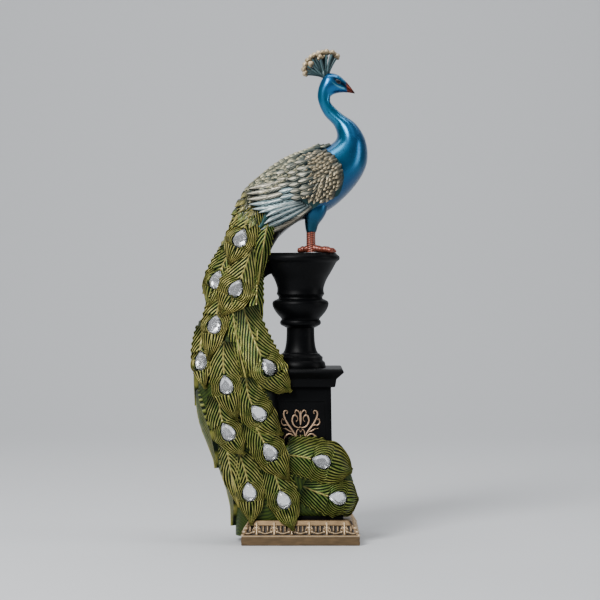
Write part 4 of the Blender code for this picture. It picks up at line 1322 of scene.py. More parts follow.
@dataclass
class Bird:
    """Body, head, eyes and beak in pearl blue."""

    sides: int = 72
    steps: int = 14

    def paint(self, point: Vector) -> np.ndarray:
        """The painted colour at a point of the body.

        Args:
            point: the point.

        Returns:
            Its colour.
        """
        x, z = point.x / DATUM.unit, (point.z - DATUM.stand) / DATUM.unit
        y = abs(point.y) / DATUM.unit
        flow = 0.5 + 0.5 * math.sin(0.28 * x + 0.22 * z + 0.35 * y)
        base = blend_colour(PEARL_BLUE, PEARL_TEAL, 0.55 * flow * smoothstep(20, 60, z))
        # painted shade: the breast and underside darken towards the bottom
        base = blend_colour(UNDERSIDE_SHADE_BLUE, base, smoothstep(14, 50, z + 0.4 * (8 - x)))
        if x < 7 and z < 50:
            edge = 24.6 + (x - 4.6) * 0.81
            base = blend_colour(BLACK, base, smoothstep(edge - 1.5, edge + 0.5, z) if x < 5 else 1.0)
        if x < -12:
            base = blend_colour(base, EMERALD, smoothstep(-12, -20, x))
        if z > 74:
            base = self.face(base, x, z, y)
        return base

    def face(self, base: np.ndarray, x: float, z: float, y: float) -> np.ndarray:
        """Eye stripe, light line below the eye, painted shade under the chin, and beak.

        Args:
            base: the colour before them.
            x: the place forward, in hundredths of the bird's height.
            z: the place upward, in the same.
            y: how far from the middle plane.

        Returns:
            The colour.
        """
        stripe = math.exp(-(((z - (84.2 - 0.62 * (x - 18))) / 1.25) ** 2)) * smoothstep(14.2, 17.0, x)
        stripe *= smoothstep(0.8, 1.6, y) * (1 - smoothstep(23.4, 24.4, x))
        base = blend_colour(base, NAVY, 0.95 * stripe)
        line = 81.0 + 0.055 * (x - 19.0) ** 2 - 0.42 * (x - 19.0)
        light = math.exp(-(((z - line) / 0.36) ** 2))
        light *= smoothstep(14.6, 16.4, x) * (1 - smoothstep(21.0, 22.4, x))
        base = blend_colour(base, SKY, 0.8 * light * smoothstep(0.8, 1.8, y))
        # painted shade under the chin
        chin = (1 - smoothstep(78.6, 79.6, z)) * smoothstep(15.5, 17.5, x)
        base = blend_colour(base, NAVY, 0.6 * chin)
        beak = smoothstep(22.3, 23.0, x + 0.10 * (z - 80))
        base = blend_colour(base, BEAK_RED, beak)
        base = blend_colour(base, BEAK_TIP, beak * smoothstep(25.0, 26.2, x))
        mouth = math.exp(-(((z - (79.9 - 0.40 * (x - 23.0))) / 0.22) ** 2)) * smoothstep(21.4, 22.4, x)
        return blend_colour(base, MOUTH, 0.85 * mouth)

    def build(self) -> list[bpy.types.Object]:
        """Loft the body, and set both eyes.

        Returns:
            The body's and the eyes' pieces.
        """
        body = Carving()
        body.loft(bird_rings(self.sides, self.steps), self.paint)
        pieces = [body.piece("bird_body", pearl_finish("pearl_blue"), 60.0)]
        eyes = Carving()
        for hand in (-1, 1):
            centre = DATUM.bird(18.0, 83.4, hand * 3.4)
            rings = []
            for depth, size in ((-0.8, 1.1), (0.1, 1.4), (0.35, 1.25), (0.52, 0.85), (0.60, 0.35)):
                ring = []
                for k in range(20):
                    turn = 2 * math.pi * k / 20
                    along = math.cos(turn) * size * 1.25
                    high = math.sin(turn) * size * 0.85 - 0.18 * along
                    ring.append(centre + Vector((along, hand * depth, high)) * DATUM.unit)
                rings.append(ring)
            eyes.loft(rings, EYE_BLACK)
        glassy = Finish("eye_black", gloss=Gloss.BRIGHT, coat=0.3)
        return [*pieces, eyes.piece("bird_eyes", glassy, 60.0)]


@dataclass
class Legs:
    """Thighs, scaled legs and toes."""

    spread: float = 6.0
    toe_radius: float = 0.0023

    def build(self) -> list[bpy.types.Object]:
        """Model both legs.

        Returns:
            The thighs' and the feet's pieces.
        """
        thighs, feet = Carving(), Carving()
        unit = DATUM.unit
        for hand in (-1, 1):
            y = hand * self.spread
            rows = [(8.5, 30.0, y * 0.7, 6.6), (7.2, 21.0, y, 5.6), (5.6, 15.0, y, 3.6)]
            rows += [(5.2, 10.6, y, 2.55), (5.2, 10.0, y, 1.8)]
            line = smooth_rows(rows, 8)
            points = [DATUM.bird(r[0], r[1], r[2]) for r in line]
            thighs.loft(tube_rings(points, [r[3] * unit for r in line], 32), self.thigh_paint)
            rows = [(5.2, 12.0, 2.3), (5.1, 7.0, 2.2), (5.2, 3.0, 2.35), (5.4, 0.4, 2.7)]
            line = smooth_rows(rows, 24)
            points = [DATUM.bird(r[0], r[1], y) for r in line]
            rings = tube_rings(points, [r[2] * unit for r in line], 28)
            self.scute(feet, rings, points, 0.0016)
            for turn, reach in ((-24, 11.6), (0, 12.2), (24, 11.6), (180, 6.6)):
                self.toe(feet, y, math.radians(turn), reach)
        blue = pearl_finish("pearl_blue_thigh")
        red = Finish("copper_red", metallic=0.45, coat=0.3)
        return [thighs.piece("bird_thighs", blue, 60.0), feet.piece("bird_feet", red, 60.0)]

    @staticmethod
    def thigh_paint(point: Vector) -> np.ndarray:
        """The thigh's colour, darker towards the leg."""
        z = (point.z - DATUM.stand) / DATUM.unit
        return blend_colour(THIGH_BLUE, PEARL_BLUE, smoothstep(9, 30, z) * 0.6)

    @staticmethod
    def scute(feet: Carving, rings: list[Ring], middles: Sequence[Vector], pitch: float) -> None:
        """Carve overlapping scales round a limb.

        Args:
            feet: what the limb is added to.
            rings: the limb's rings.
            middles: the middle of each ring.
            pitch: length of a scale.
        """
        travelled, points, paint = 0.0, [], []
        count = len(rings[0])
        for i, ring in enumerate(rings):
            travelled += (middles[i] - middles[max(i - 1, 0)]).length
            for k, point in enumerate(ring):
                column = 7 * k / count
                phase = travelled / pitch + 0.5 * (int(column) % 2)
                bulge = 0.55 + 0.45 * abs(math.sin(math.pi * column)) ** 0.5
                bulge *= abs(math.sin(math.pi * phase)) ** 0.6
                points.append(middles[i] + (point - middles[i]) * (0.89 + 0.14 * bulge))
                # painted shade in the grooves between the scales
                paint.append(blend_colour(SCUTE_GROOVE_SHADE, LEG_RED, smoothstep(0.25, 1.0, bulge)))
        start = len(feet.points)
        feet.loft(rings, (0.1, 0.1, 0.1))
        feet.points[start:] = points
        feet.paint[start:] = paint

    def toe(self, feet: Carving, y: float, turn: float, reach: float) -> None:
        """One knuckled and clawed toe on the urn's rim.

        Args:
            feet: what it is added to.
            y: the foot's place across, in hundredths of the bird's height.
            turn: the toe's heading.
            reach: its length in the same.
        """
        ahead = Vector((math.cos(turn), math.sin(turn), 0))
        base = DATUM.bird(5.2, 0, y)
        rows = [(0, 2.4, 1.1), (0.3, 1.9, 1.12), (0.45, 1.6, 0.92), (0.62, 1.6, 1.08)]
        rows += [(0.76, 1.3, 0.85), (0.88, 1.1, 0.8), (1, 0.5, 0.25)]
        line = smooth_rows(rows, 6)
        points = [base + (ahead * (r[0] * reach) + Vector((0, 0, r[1]))) * DATUM.unit for r in line]
        rings = tube_rings(points, [max(r[2], 0.2) * self.toe_radius for r in line], 18)
        self.scute(feet, rings, points, 0.0013)


@dataclass
class Crest:
    """Fan of plumes, each a thin stem with a beaded tuft."""

    seed: int = 4
    tuft_size: float = 1.5

    @staticmethod
    def tips() -> list[tuple[float, float, float]]:
        """Places of the tufts: forward, up and aside."""
        made = [(2.4, 88.4, -2), (2.0, 90.6, 1), (2.5, 92.8, -1), (3.8, 94.9, 2), (5.3, 96.4, -2)]
        made += [(7.0, 97.4, 1), (8.9, 98.2, -1), (10.8, 98.7, 2), (12.7, 98.9, -2)]
        made += [(15.6, 98.7, -2), (17.9, 97.0, 1), (16.6, 97.9, 2)]
        made += [(4.4, 90.4, 3), (5.2, 93.2, -3), (7.2, 95.2, 3), (9.6, 96.4, -3), (12.0, 96.9, 3)]
        return made

    def build(self) -> list[bpy.types.Object]:
        """Model stems and tufts.

        Returns:
            Their pieces.
        """
        stems, tufts = Carving(), Carving()
        chance = random.Random(self.seed)
        unit = DATUM.unit
        root = [DATUM.bird(11.7, 85.8), DATUM.bird(11.6, 88.2), DATUM.bird(11.4, 90.2)]
        stems.loft(tube_rings(root, [1.5 * unit, 1.75 * unit, 0.6 * unit], 14), DEEP_TEAL)
        for x, z, y in self.tips():
            base = DATUM.bird(11.8 + 0.20 * (x - 10), 86.4 + 0.02 * x, y * 0.15)
            tip = DATUM.bird(x, z - 0.8, y * 0.5)
            sway = 0.10 * (10 - x) * (1 if x > 14 else 0.4)
            bend = base.lerp(tip, 0.5) + Vector((sway, 0, 0.5)) * unit
            shares = [k / 10 for k in range(11)]
            line = [base * (1 - t) ** 2 + bend * 2 * t * (1 - t) + tip * t**2 for t in shares]
            stems.loft(tube_rings(line, [unit * (0.55 + 0.30 * t) for t in shares], 7), self.stem_paint)
            self.tuft(tufts, tip, (tip - bend).normalized(), chance)
        teal = Finish("crest_teal", metallic=0.3, coat=0.1)
        beige = Finish("crest_beige", metallic=0.25)
        return [stems.piece("crest_stems", teal, 60.0), tufts.piece("crest_tufts", beige, 60.0)]

    @staticmethod
    def stem_paint(point: Vector) -> np.ndarray:
        """Dark teal with light streaks along the stems."""
        x, z = point.x / DATUM.unit - 11.8, (point.z - DATUM.stand) / DATUM.unit - 85
        streak = 0.5 + 0.5 * math.sin(38 * math.atan2(x, z) + point.y * 900)
        return blend_colour(STEM_DARK, STEM_LIGHT, streak**2 * smoothstep(1.0, 4.0, z))

    def tuft(self, tufts: Carving, centre: Vector, ahead: Vector, chance: random.Random) -> None:
        """One tuft: a knobbly bead with smaller ones round it.

        Args:
            tufts: what it is added to.
            centre: its place.
            ahead: the way that its stem points.
            chance: the seeded source of its knobs.
        """
        across = ahead.cross(Vector((0, 1, 0))).normalized()
        unit = DATUM.unit
        outward = ahead.cross(across)
        beads = [(0.1, 0.0, 0.0, 1.0), (-0.35, 0.75, 0.3, 0.62), (-0.35, -0.75, -0.3, 0.62)]
        beads += [(0.25, 0.15, 0.8, 0.62), (0.25, -0.15, -0.8, 0.62), (0.75, 0.2, 0.1, 0.5)]
        for along, aside, out, size in beads:
            size *= self.tuft_size * chance.uniform(0.9, 1.1)
            middle = centre + (ahead * along + across * aside + outward * out) * unit
            rings = []
            for k in range(7):
                turn = math.pi * (k + 0.35) / 6.7
                radius = math.sin(turn) * size * unit * chance.uniform(0.85, 1.08)
                centre_k = middle - ahead * math.cos(turn) * size * unit
                rings.append(round_ring(centre_k, radius, 9, across, outward))
            tone = chance.uniform(0.45, 1.0)
            rises = [(point - middle).dot(ahead) / (size * unit) for ring in rings for point in ring]
            start = len(tufts.paint)
            tufts.loft(rings, TUFT_DARK)
            shades = [tone * smoothstep(-0.9, 0.7, rise) for rise in rises]
            tufts.paint[start:] = [blend_colour(TUFT_DARK, TUFT_LIGHT, shade) for shade in shades]


# Wings and back


SHADOW_TEAL: Colour = (0.004, 0.016, 0.018)
SCALE_SCHEME = Scheme(SHADOW_TEAL, (0.04, 0.04, 0.03), (0.36, 0.29, 0.18), (0.62, 0.51, 0.33), 0.8, 0.55, 1.0)
BACK_SCHEME = Scheme(SHADOW_TEAL, (0.01, 0.05, 0.05), (0.13, 0.19, 0.16), (0.46, 0.41, 0.26), 0.7, 0.55, 0.95)
BLADE_SCHEME = Scheme(SHADOW_TEAL, (0.22, 0.25, 0.22), (0.52, 0.48, 0.37), (0.72, 0.65, 0.50), 0.6, 0.62, 0.3)
BLUE_BLADE = Scheme(SHADOW_TEAL, (0.12, 0.26, 0.30), (0.34, 0.50, 0.54), (0.66, 0.74, 0.72), 0.55, 0.62, 0.3)
COVERTS = Scheme(SHADOW_TEAL, (0.06, 0.10, 0.09), (0.42, 0.42, 0.33), (0.68, 0.62, 0.48), 0.6, 0.55, 0.8)
BED_SCHEME = Scheme(DEEP_TEAL, DEEP_TEAL, (0.02, 0.07, 0.07), (0.03, 0.09, 0.09), 0.0)
RUMP_GOLD = Scheme(GROOVE, (0.06, 0.10, 0.02), (0.24, 0.23, 0.06), (0.54, 0.46, 0.16), 0.9, 0.45, 0.8)
RUMP_GREEN = Scheme(GROOVE, EMERALD, LEAF_GREEN, (0.36, 0.38, 0.10), 0.7, 0.45, 0.8)


VANE = Cut(
    rise=0.0009,
    crown=0.0010,
    sink=0.003,
    widest=0.5,
    root_share=0.62,
    fullness=2.6,
    root_rise=0.5,
    rows=60,
    columns=16,
    pitch=0.0010,
    barb=0.00014,
    slant=2.4,
    rachis=0.00022,
    teeth=0.02,
    stiffness=6,
)
COVERT = replace(
    VANE,
    rise=0.0013,
    widest=0.55,
    root_share=0.6,
    fullness=3.0,
    root_rise=0.4,
    rows=34,
    columns=20,
    slant=1.6,
    rachis=0.0002,
)
SCALE = Cut(
    rise=0.0012,
    crown=0.0009,
    sink=0.0022,
    widest=0.5,
    fullness=2.2,
    root_rise=0.25,
    rows=10,
    columns=8,
    pitch=0.0009,
    barb=0.0,
    slant=1.0,
    rachis=0.0004,
    teeth=0.0,
    stiffness=2,
)
SADDLE_SCALE = replace(SCALE, rise=0.0013, crown=0.0008, fullness=2.0, rows=9, rachis=0.0003)
GROUND = Cut(
    rise=0.00099,
    crown=0.00132,
    sink=0.004,
    widest=0.42,
    root_share=0.55,
    rows=40,
    columns=30,
    barb=0.0,
    rachis=0.0,
    teeth=0.0,
)
SHIELD_GROUND = replace(GROUND, rise=0.00165, crown=0.00154, widest=0.36, root_share=0.3, columns=36)
SADDLE_GROUND = replace(GROUND, rise=0.0009, crown=0.0006, root_share=0.5, wrap=0.3)

# How high the back's ridge stands along the bird
RIDGE = ((-27, -17, -4, 10, 17), (27.0, 37.6, 46.2, 50.5, 54.0))


@dataclass
class Wings:
    """Both folded wings and the feathered saddle between them."""

    body: BVHTree
    seed: int = 9
    lean: float = -0.0003

    @staticmethod
    def blade(x: float, y: float) -> tuple[float, float]:
        """A place on the wing, from the photograph's right and down to hundredths of the bird's height."""
        return (x - Studio.centre_x) * 0.483, 122.1 - 0.4825 * y

    def beds(self, look: Vector) -> Carving:
        """The wing's dark ground: the long underside and the shoulder shield.

        Args:
            look: the side that the wing is seen from.

        Returns:
            Their forms.
        """
        made = Carving()
        carver = Carver(self.body, made)
        spine = [DATUM.bird(x, z) for x, z in ((16.0, 38.0), (1.0, 31.0), (-19.6, 12.0))]
        carver.lay(look, spine, 11.0 * DATUM.unit, GROUND, BED_SCHEME)
        spine = [DATUM.bird(x, z) for x, z in ((20.4, 39.6), (14.0, 38.0), (-1.0, 33.0))]
        carver.lay(look, spine, 11.4 * DATUM.unit, SHIELD_GROUND, BED_SCHEME)
        return made

    def flight(self, carver: Carver, look: Vector) -> None:
        """The long flight feathers, lower ones first.

        Args:
            carver: lays them.
            look: the side that the wing is seen from.
        """
        lower = [
            ((311, 206), (288, 222.5), (259.5, 235)),
            ((308, 206), (285, 218.5), (261, 229.5)),
            ((305, 205), (283, 213.5), (264, 223.5)),
            ((303, 203.5), (282, 209), (266, 216.5)),
            ((301, 202.5), (279, 207), (259, 213)),
        ]
        for number, spine in enumerate(lower):
            scheme = BLADE_SCHEME if number == 0 else BLUE_BLADE
            self.lay(carver, look, spine, 1.75, replace(VANE, rise=VANE.rise + 0.0002 * number), scheme)
        upper = [
            ((294, 202), (272, 207.5), (252.5, 209.5)),
            ((292, 197), (270, 203), (249.5, 205)),
            ((290, 191), (268.5, 197.5), (248, 200)),
            ((290, 185), (268, 191.5), (247.5, 195)),
            ((292, 179), (270, 185.5), (249.5, 190)),
        ]
        for number, spine in enumerate(upper):
            scheme = BLUE_BLADE if number < 2 else BLADE_SCHEME
            rise = VANE.rise + 0.0004 + 0.0002 * number
            self.lay(carver, look, spine, 1.65, replace(VANE, rise=rise), scheme)

    def lay(
        self, carver: Carver, look: Vector, spine: Sequence, half: float, cut: Cut, scheme: Scheme
    ) -> None:
        """Lay one feather of the wing by its three places in the photograph.

        Args:
            carver: lays it.
            look: the side that the wing is seen from.
            spine: its root, middle and tip.
            half: half its width, in hundredths of the bird's height.
            cut: how it is carved.
            scheme: its colours.
        """
        points = [DATUM.bird(*self.blade(x, y)) for x, y in spine]
        carver.lay(look, points, half * DATUM.unit, cut, scheme, lean=self.lean)

    def coverts(self, carver: Carver, look: Vector) -> None:
        """Rows of rounded coverts between the shoulder and the flight feathers.

        Args:
            carver: lays them.
            look: the side that the wing is seen from.
        """
        count = 6
        for column, (x, top) in enumerate(((283.0, 172.0), (293.0, 166.0), (302.0, 162.0))):
            for k in range(count):
                y = top + 6.0 * (count - 1 - k)
                shift = 0.9 * (count - 1 - k)
                spine = ((x + 9 + shift, y - 1.0), (x + 1 + shift, y + 1.2), (x - 6.5 + shift, y + 2.6))
                scheme = BLUE_BLADE if column == 0 and k < 3 else COVERTS
                rise = COVERT.rise + 0.0004 + 0.0003 * column + 0.00006 * k
                self.lay(carver, look, spine, 1.75, replace(COVERT, rise=rise), scheme)

    def scale(self, carver: Carver, look: Vector, spot: Sequence[float], chance: random.Random) -> None:
        """One small rounded feather of the shoulder or the back.

        Args:
            carver: lays it.
            look: the side that it is seen from.
            spot: its place, its heading in degrees, its size and its extra rise in metres.
            chance: the seeded source of its differences.
        """
        x, z, heading, size, rise = spot
        turn = math.radians(heading + chance.uniform(-20, 20))
        x, z = x + chance.uniform(-0.45, 0.45), z + chance.uniform(-0.45, 0.45)
        step = (math.cos(turn) * size * 1.7, math.sin(turn) * size * 1.7)
        points = [DATUM.bird(x - step[0] * f, z - step[1] * f) for f in (0.9, 0.0, -0.9)]
        if self.body.ray_cast(points[1] - look * REACH, look)[0] is None:
            return
        rise += SCALE.rise + chance.uniform(-0.0003, 0.0003)
        cut = replace(SCALE, rise=rise)
        scheme = SCALE_SCHEME if x > chance.uniform(-1.0, 4.0) else BACK_SCHEME
        carver.lay(look, points, size * chance.uniform(0.9, 1.2) * DATUM.unit, cut, scheme)

    def scales(self, carver: Carver, look: Vector) -> None:
        """Small overlapping feathers on the shoulder and along the back.

        Args:
            carver: lays them.
            look: the side that the wing is seen from.
        """
        chance = random.Random(self.seed)
        rows = 17
        for row in range(rows):
            x = -26.5 + 1.75 * row
            ridge = float(np.interp(x, *RIDGE))
            for k in range(5):
                z = ridge - 0.4 - 2.0 * (k + 0.5 * (row % 2))
                if not self.on_shoulder(x, z):
                    self.scale(carver, look, (x, z, 208, 1.45, 0.0003 + 0.00012 * k), chance)
        rows = 12
        for row in range(rows):
            share = row / (rows - 1)
            for k in range(13):
                along = (k + 0.5 * (row % 2)) / 12.5
                x = -0.6 + 17.5 * share + 3.2 * math.sin(math.pi * along) * (0.4 + share * 0.7)
                z = 48.4 - 23.3 * along + 1.2 * (1 - share)
                if self.on_shoulder(x, z):
                    self.scale(carver, look, (x, z, 205 + 26 * along, 1.35, 0.0004 * share), chance)

    @staticmethod
    def on_shoulder(x: float, z: float) -> bool:
        """Whether a place lies in the shoulder patch."""
        return ((x - 6.5) / 12.6) ** 2 + ((z - 36.6) / 12.8) ** 2 < 1.0 and x > 0.4 + 0.05 * (40 - z)

    def saddle(self, carver: Carver) -> None:
        """Small rough feathers over the back, larger towards the rump.

        Args:
            carver: lays them.
        """
        chance = random.Random(self.seed + 1)
        for row in range(17):
            share = row / 16
            x = -26.0 + 38.5 * share
            z = float(np.interp(x, *RIDGE))
            half = 1.8 - 0.45 * share
            for k in range(-4, 5):
                y = (k + 0.5 * (row % 2)) * 2.35 + chance.uniform(-0.3, 0.3)
                if abs(y) > 8.6 - 3.2 * smoothstep(0.6, 1.0, share):
                    continue
                length = 3.3 - 1.1 * share
                steps = [(f, length * f) for f in (0.9, 0.0, -0.9)]
                spine = [DATUM.bird(x + step, z + step * 0.65, y * (1 - 0.05 * f)) for f, step in steps]
                rise = SADDLE_SCALE.rise + 0.0002 * row / 17 + chance.uniform(-0.0002, 0.0004)
                cut = replace(SADDLE_SCALE, rise=rise)
                carver.lay(FROM_ABOVE, spine, half * DATUM.unit, cut, BACK_SCHEME)

    def build(self) -> list[bpy.types.Object]:
        """Carve both wings and the saddle.

        Returns:
            Their pieces.
        """
        pieces = []
        paint = {"metallic": 0.4, "coat": 0.05, "specular": 0.25}
        saddle_bed = Carving()
        spine = [DATUM.bird(10.5, 51.0), DATUM.bird(-3.0, 46.5), DATUM.bird(-26.0, 28.0)]
        Carver(self.body, saddle_bed).lay(FROM_ABOVE, spine, 8.4 * DATUM.unit, SADDLE_GROUND, BED_SCHEME)
        for look, label in ((FROM_FRONT, "right"), (FROM_BACK, "left")):
            beds = self.beds(look)
            feathers = Carving()
            carver = carver_on(beds, feathers)
            self.flight(carver, look)
            self.coverts(carver, look)
            self.scales(carver, look)
            pieces.append(beds.piece(f"wing_ground_{label}", Finish(f"wing_teal_{label}", **paint)))
            champagne = Finish(f"wing_champagne_{label}", **paint)
            pieces.append(feathers.piece(f"wing_feathers_{label}", champagne))
        saddle = Carving()
        self.saddle(carver_on(saddle_bed, saddle))
        pieces.append(saddle_bed.piece("saddle_ground", Finish("saddle_teal", **paint)))
        pieces.append(saddle.piece("saddle_feathers", Finish("saddle_grey_green", **paint)))
        return pieces


def carver_on(bed: Carving, carving: Carving) -> Carver:
    """A carver whose feathers lie on a bed over the body.

    Args:
        bed: forms that lie on the body.
        carving: what the feathers are added to.

    Returns:
        The carver.
    """
    rings = bird_rings(BED_SIDES, BED_STEPS)
    faces = bed.faces + loft_faces(len(bed.points), len(rings), BED_SIDES)
    points = [tuple(p) for p in bed.points] + [tuple(point) for ring in rings for point in ring]
    return Carver(BVHTree.FromPolygons(points, faces), carving)


# The train


class Feather(NamedTuple):
    """A train feather: root, eye and tip as seen from one side, half its width, and how it sits."""

    look: Vector
    root: tuple[float, float]
    eye: tuple[float, float]
    tip: tuple[float, float]
    half_width: float
    jewelled: bool = True
    lift: float = 0.0
    fullness: float = 1.9
    gilding: float = 0.8
    green: float = 0.4
    wrap: float = 0.8


FRONT_FEATHERS = [
    Feather(FROM_FRONT, *row)
    for row in (
        ((1.0, 13.0), (17.5, 8.4), (28.0, 7.4), 9.6, True, 0.0, 4.0, 0.35, 0.55),
        ((-6.0, 24.4), (9.7, 22.2), (25.0, 18.0), 10.2, True, 0.8, 3.6, 0.40, 0.45),
        ((-13.6, 20.5), (-8.2, 8.1), (-3.4, -3.2), 8.0, True, 0.4, 1.9, 0.65, 0.65),
        ((-29.5, 25.5), (-24.3, 11.0), (-23.4, -1.4), 7.4, True, 0.3, 1.9, 0.80, 0.45),
        ((-23.0, 37.5), (-15.1, 25.8), (-5.6, 14.6), 8.2, True, 0.8, 1.9, 0.55, 0.30),
        ((-38.4, 46.0), (-35.1, 33.3), (-26.4, 24.8), 7.6, True, 0.4, 1.9, 0.75, 0.55),
        ((-26.0, 53.5), (-20.7, 40.2), (-8.6, 31.8), 8.4, True, 0.8, 1.9, 0.70, 0.45),
        ((-36.4, 67.0), (-35.6, 50.9), (-30.4, 37.4), 7.6, True, 0.8, 1.9, 0.85, 0.45),
        ((-46.2, 72.0), (-47.4, 59.5), (-45.2, 49.0), 5.0, True, 0.4, 1.9, 0.90, 0.20),
        ((-21.0, 94.0), (-22.0, 81.0), (-21.6, 67.0), 3.8, False, 0.0, 1.9, 0.50, 0.75),
        ((-28.0, 79.0), (-16.3, 56.8), (-5.2, 47.6), 8.8, True, 1.0, 1.9, 0.75, 0.50, 0.35),
        ((-36.6, 85.0), (-41.1, 73.1), (-43.8, 59.5), 6.8, True, 0.8, 1.9, 0.95, 0.20),
        ((-33.0, 101.0), (-40.0, 89.7), (-44.4, 79.0), 6.8, True, 0.4, 1.9, 0.80, 0.60),
        ((-15.5, 113.0), (-18.6, 102.0), (-21.2, 88.0), 4.2, False, 0.4, 1.9, 0.45, 0.80),
        ((-23.4, 102.0), (-31.2, 86.4), (-38.8, 76.0), 9.0, True, 1.4, 1.9, 1.00, 0.25),
        ((-22.0, 118.0), (-28.6, 105.4), (-34.0, 95.4), 7.6, True, 1.6, 1.9, 1.00, 0.20),
        ((-35.0, 28.5), (-32.6, 17.5), (-29.0, 5.0), 5.0, False, 0.0, 1.9, 0.90, 0.35),
        ((-33.0, 84.0), (-30.6, 68.0), (-24.8, 49.0), 3.8, False, -0.9, 1.9, 0.50, 0.70),
    )
]

SIDE_FEATHERS = [
    Feather(FROM_LEFT, *row)
    for row in (
        ((0.0, 122.0), (0.0, 110.0), (0.0, 97.0), 11.0, False),
        ((-8.0, 24.0), (-9.0, 10.0), (-9.0, -3.0), 10.0, False),
        ((-7.0, 47.0), (-10.0, 33.0), (-11.0, 19.0), 11.0, False, 0.6),
        ((-2.0, 74.0), (-4.0, 59.0), (-6.0, 42.0), 9.0, True, 1.0),
        ((0.0, 107.0), (0.0, 96.0), (0.0, 84.0), 7.6, True, 1.0),
    )
]

BACK_FEATHERS = [
    Feather(FROM_BACK, *row)
    for row in (
        ((-29.0, 26.0), (-26.0, 13.0), (-23.0, 1.4), 7.6, False, 0.0),
        ((-16.0, 24.0), (-12.0, 12.0), (-9.0, 1.2), 6.0, False, 0.0),
        ((-38.0, 42.0), (-34.0, 28.0), (-30.0, 15.0), 7.6, False, 0.4),
        ((-24.0, 46.0), (-20.0, 32.0), (-16.0, 18.0), 7.6, True, 0.6),
        ((-41.0, 62.0), (-39.0, 47.0), (-35.0, 34.0), 7.4, True, 0.8),
        ((-27.0, 68.0), (-25.0, 53.0), (-20.0, 39.0), 7.8, False, 1.0),
        ((-37.0, 84.0), (-39.0, 69.0), (-38.0, 56.0), 7.4, False, 1.2),
        ((-24.0, 96.0), (-28.0, 79.0), (-27.0, 63.0), 8.0, True, 1.4),
        ((-28.0, 108.0), (-36.0, 94.0), (-39.0, 80.0), 7.2, True, 1.6),
        ((-20.0, 120.0), (-26.0, 108.0), (-30.0, 95.0), 8.0, False, 1.8),
    )
]

# Which piece of the train each feather belongs to, so that none is too heavy
TRAIN_GROUPS = {
    "train_lower_front": range(0, 5),
    "train_middle_front": range(5, 10),
    "train_upper_front": range(10, 18),
    "train_outer_side": range(18, 23),
    "train_back_low": range(23, 28),
    "train_back_high": range(28, 33),
}


@dataclass
class Train:
    """The falling train: a dark core and its barbed, jewelled feathers."""

    rise: float = 0.0021
    crown: float = 0.0010
    sink: float = 0.0060

    def scheme(self, feather: Feather) -> Scheme:
        """A feather's colours, from green to gilded."""
        low = tuple(blend_colour(LEAF_GREEN, EMERALD, 0.45 + 0.55 * feather.green))
        high = tuple(blend_colour(LEAF_GREEN, BRONZE, 0.6 * (1 - feather.green)))
        gilding = feather.gilding * (0.4 if feather.look is FROM_LEFT else 1.0)
        return Scheme(GROOVE, low, high, DRY_GOLD, gilding)

    def build(self, seats: Sequence[Seat]) -> list[bpy.types.Object]:
        """Carve every feather.

        Args:
            seats: the crystals' seats, in the order of the jewelled feathers.

        Returns:
            The train's pieces.
        """
        core = Carving()
        core.loft(train_rings(96, 30), self.core_paint)
        core.loft(sweep_rings(60, 16), self.core_paint)
        pieces = [core.piece("train_core", black_finish("train_black", 0.10, painted=True), 60.0)]
        forms = (bird_rings(40, 5), train_rings(56, 10), sweep_rings(40, 6), square_rings(PLINTH_STEPS))
        bed, front_bed = bed_of(*forms), bed_of(*forms, square_rings(CAP_STEPS))
        feathers = FRONT_FEATHERS + SIDE_FEATHERS + BACK_FEATHERS
        waiting = list(seats)
        order = [waiting.pop(0) if feather.jewelled else None for feather in feathers]
        for name, members in TRAIN_GROUPS.items():
            fine = members[0] < len(FRONT_FEATHERS)
            carver = Carver(front_bed if fine else bed, Carving())
            for index in members:
                self.lay(carver, feathers[index], order[index], fine)
            look = {"metallic": 0.40, "coat": 0.03, "wander": 0.22, "grain": 0.003, "specular": 0.12}
            pieces.append(carver.carving.piece(name, Finish(name + "_paint", **look)))
        return pieces

    @staticmethod
    def core_paint(point: Vector) -> np.ndarray:
        """Black lacquer towards the urn, and dark green stripes under the feathers."""
        level = (point.z - DATUM.plinth_top) / (DATUM.stand - DATUM.plinth_top) * 100
        x = point.x / DATUM.unit
        levels, places = (0, 20, 38, 54, 70, 86, 101, 114), (-6, -9, -15, -18, -24, -24.5, -20, -9)
        inner = float(np.interp(level, levels, places))
        stripe = 0.5 + 0.5 * math.sin((point.z + 0.9 * abs(point.x + 0.045)) * 2 * math.pi / 0.0026)
        green = blend_colour(CORE_DARK, CORE_GREEN, stripe)
        return blend_colour(green, BLACK, smoothstep(inner, inner + 3, x) if level > 30 else 0.0)

    def lay(self, carver: Carver, feather: Feather, seat: Seat | None, fine: bool) -> None:
        """Carve one feather of the train.

        Args:
            carver: lays it.
            feather: where it lies.
            seat: its crystal's seat, if it has one.
            fine: whether it faces the front.
        """
        edge_on = feather.look is FROM_LEFT
        places = (feather.root, feather.eye, feather.tip)
        spine = [DATUM.train(0, level, a) if edge_on else DATUM.train(a, level) for a, level in places]
        cut = Cut(
            self.rise + feather.lift * 0.001,
            self.crown,
            self.sink,
            barb=0.0002 if edge_on else 0.0008,
            teeth=0.02 if edge_on else 0.08,
            root_share=0.8,
            fullness=feather.fullness,
            rows=100 if fine else 64,
            columns=88 if fine else 56,
            wrap=feather.wrap,
        )
        carver.lay(feather.look, spine, feather.half_width * DATUM.unit, cut, self.scheme(feather), seat)


TILE = Cut(
    rise=0.0033,
    crown=0.0007,
    sink=0.004,
    widest=0.5,
    rows=24,
    columns=16,
    pitch=0.0011,
    barb=0.0003,
    rachis=0.0005,
    stiffness=4,
)


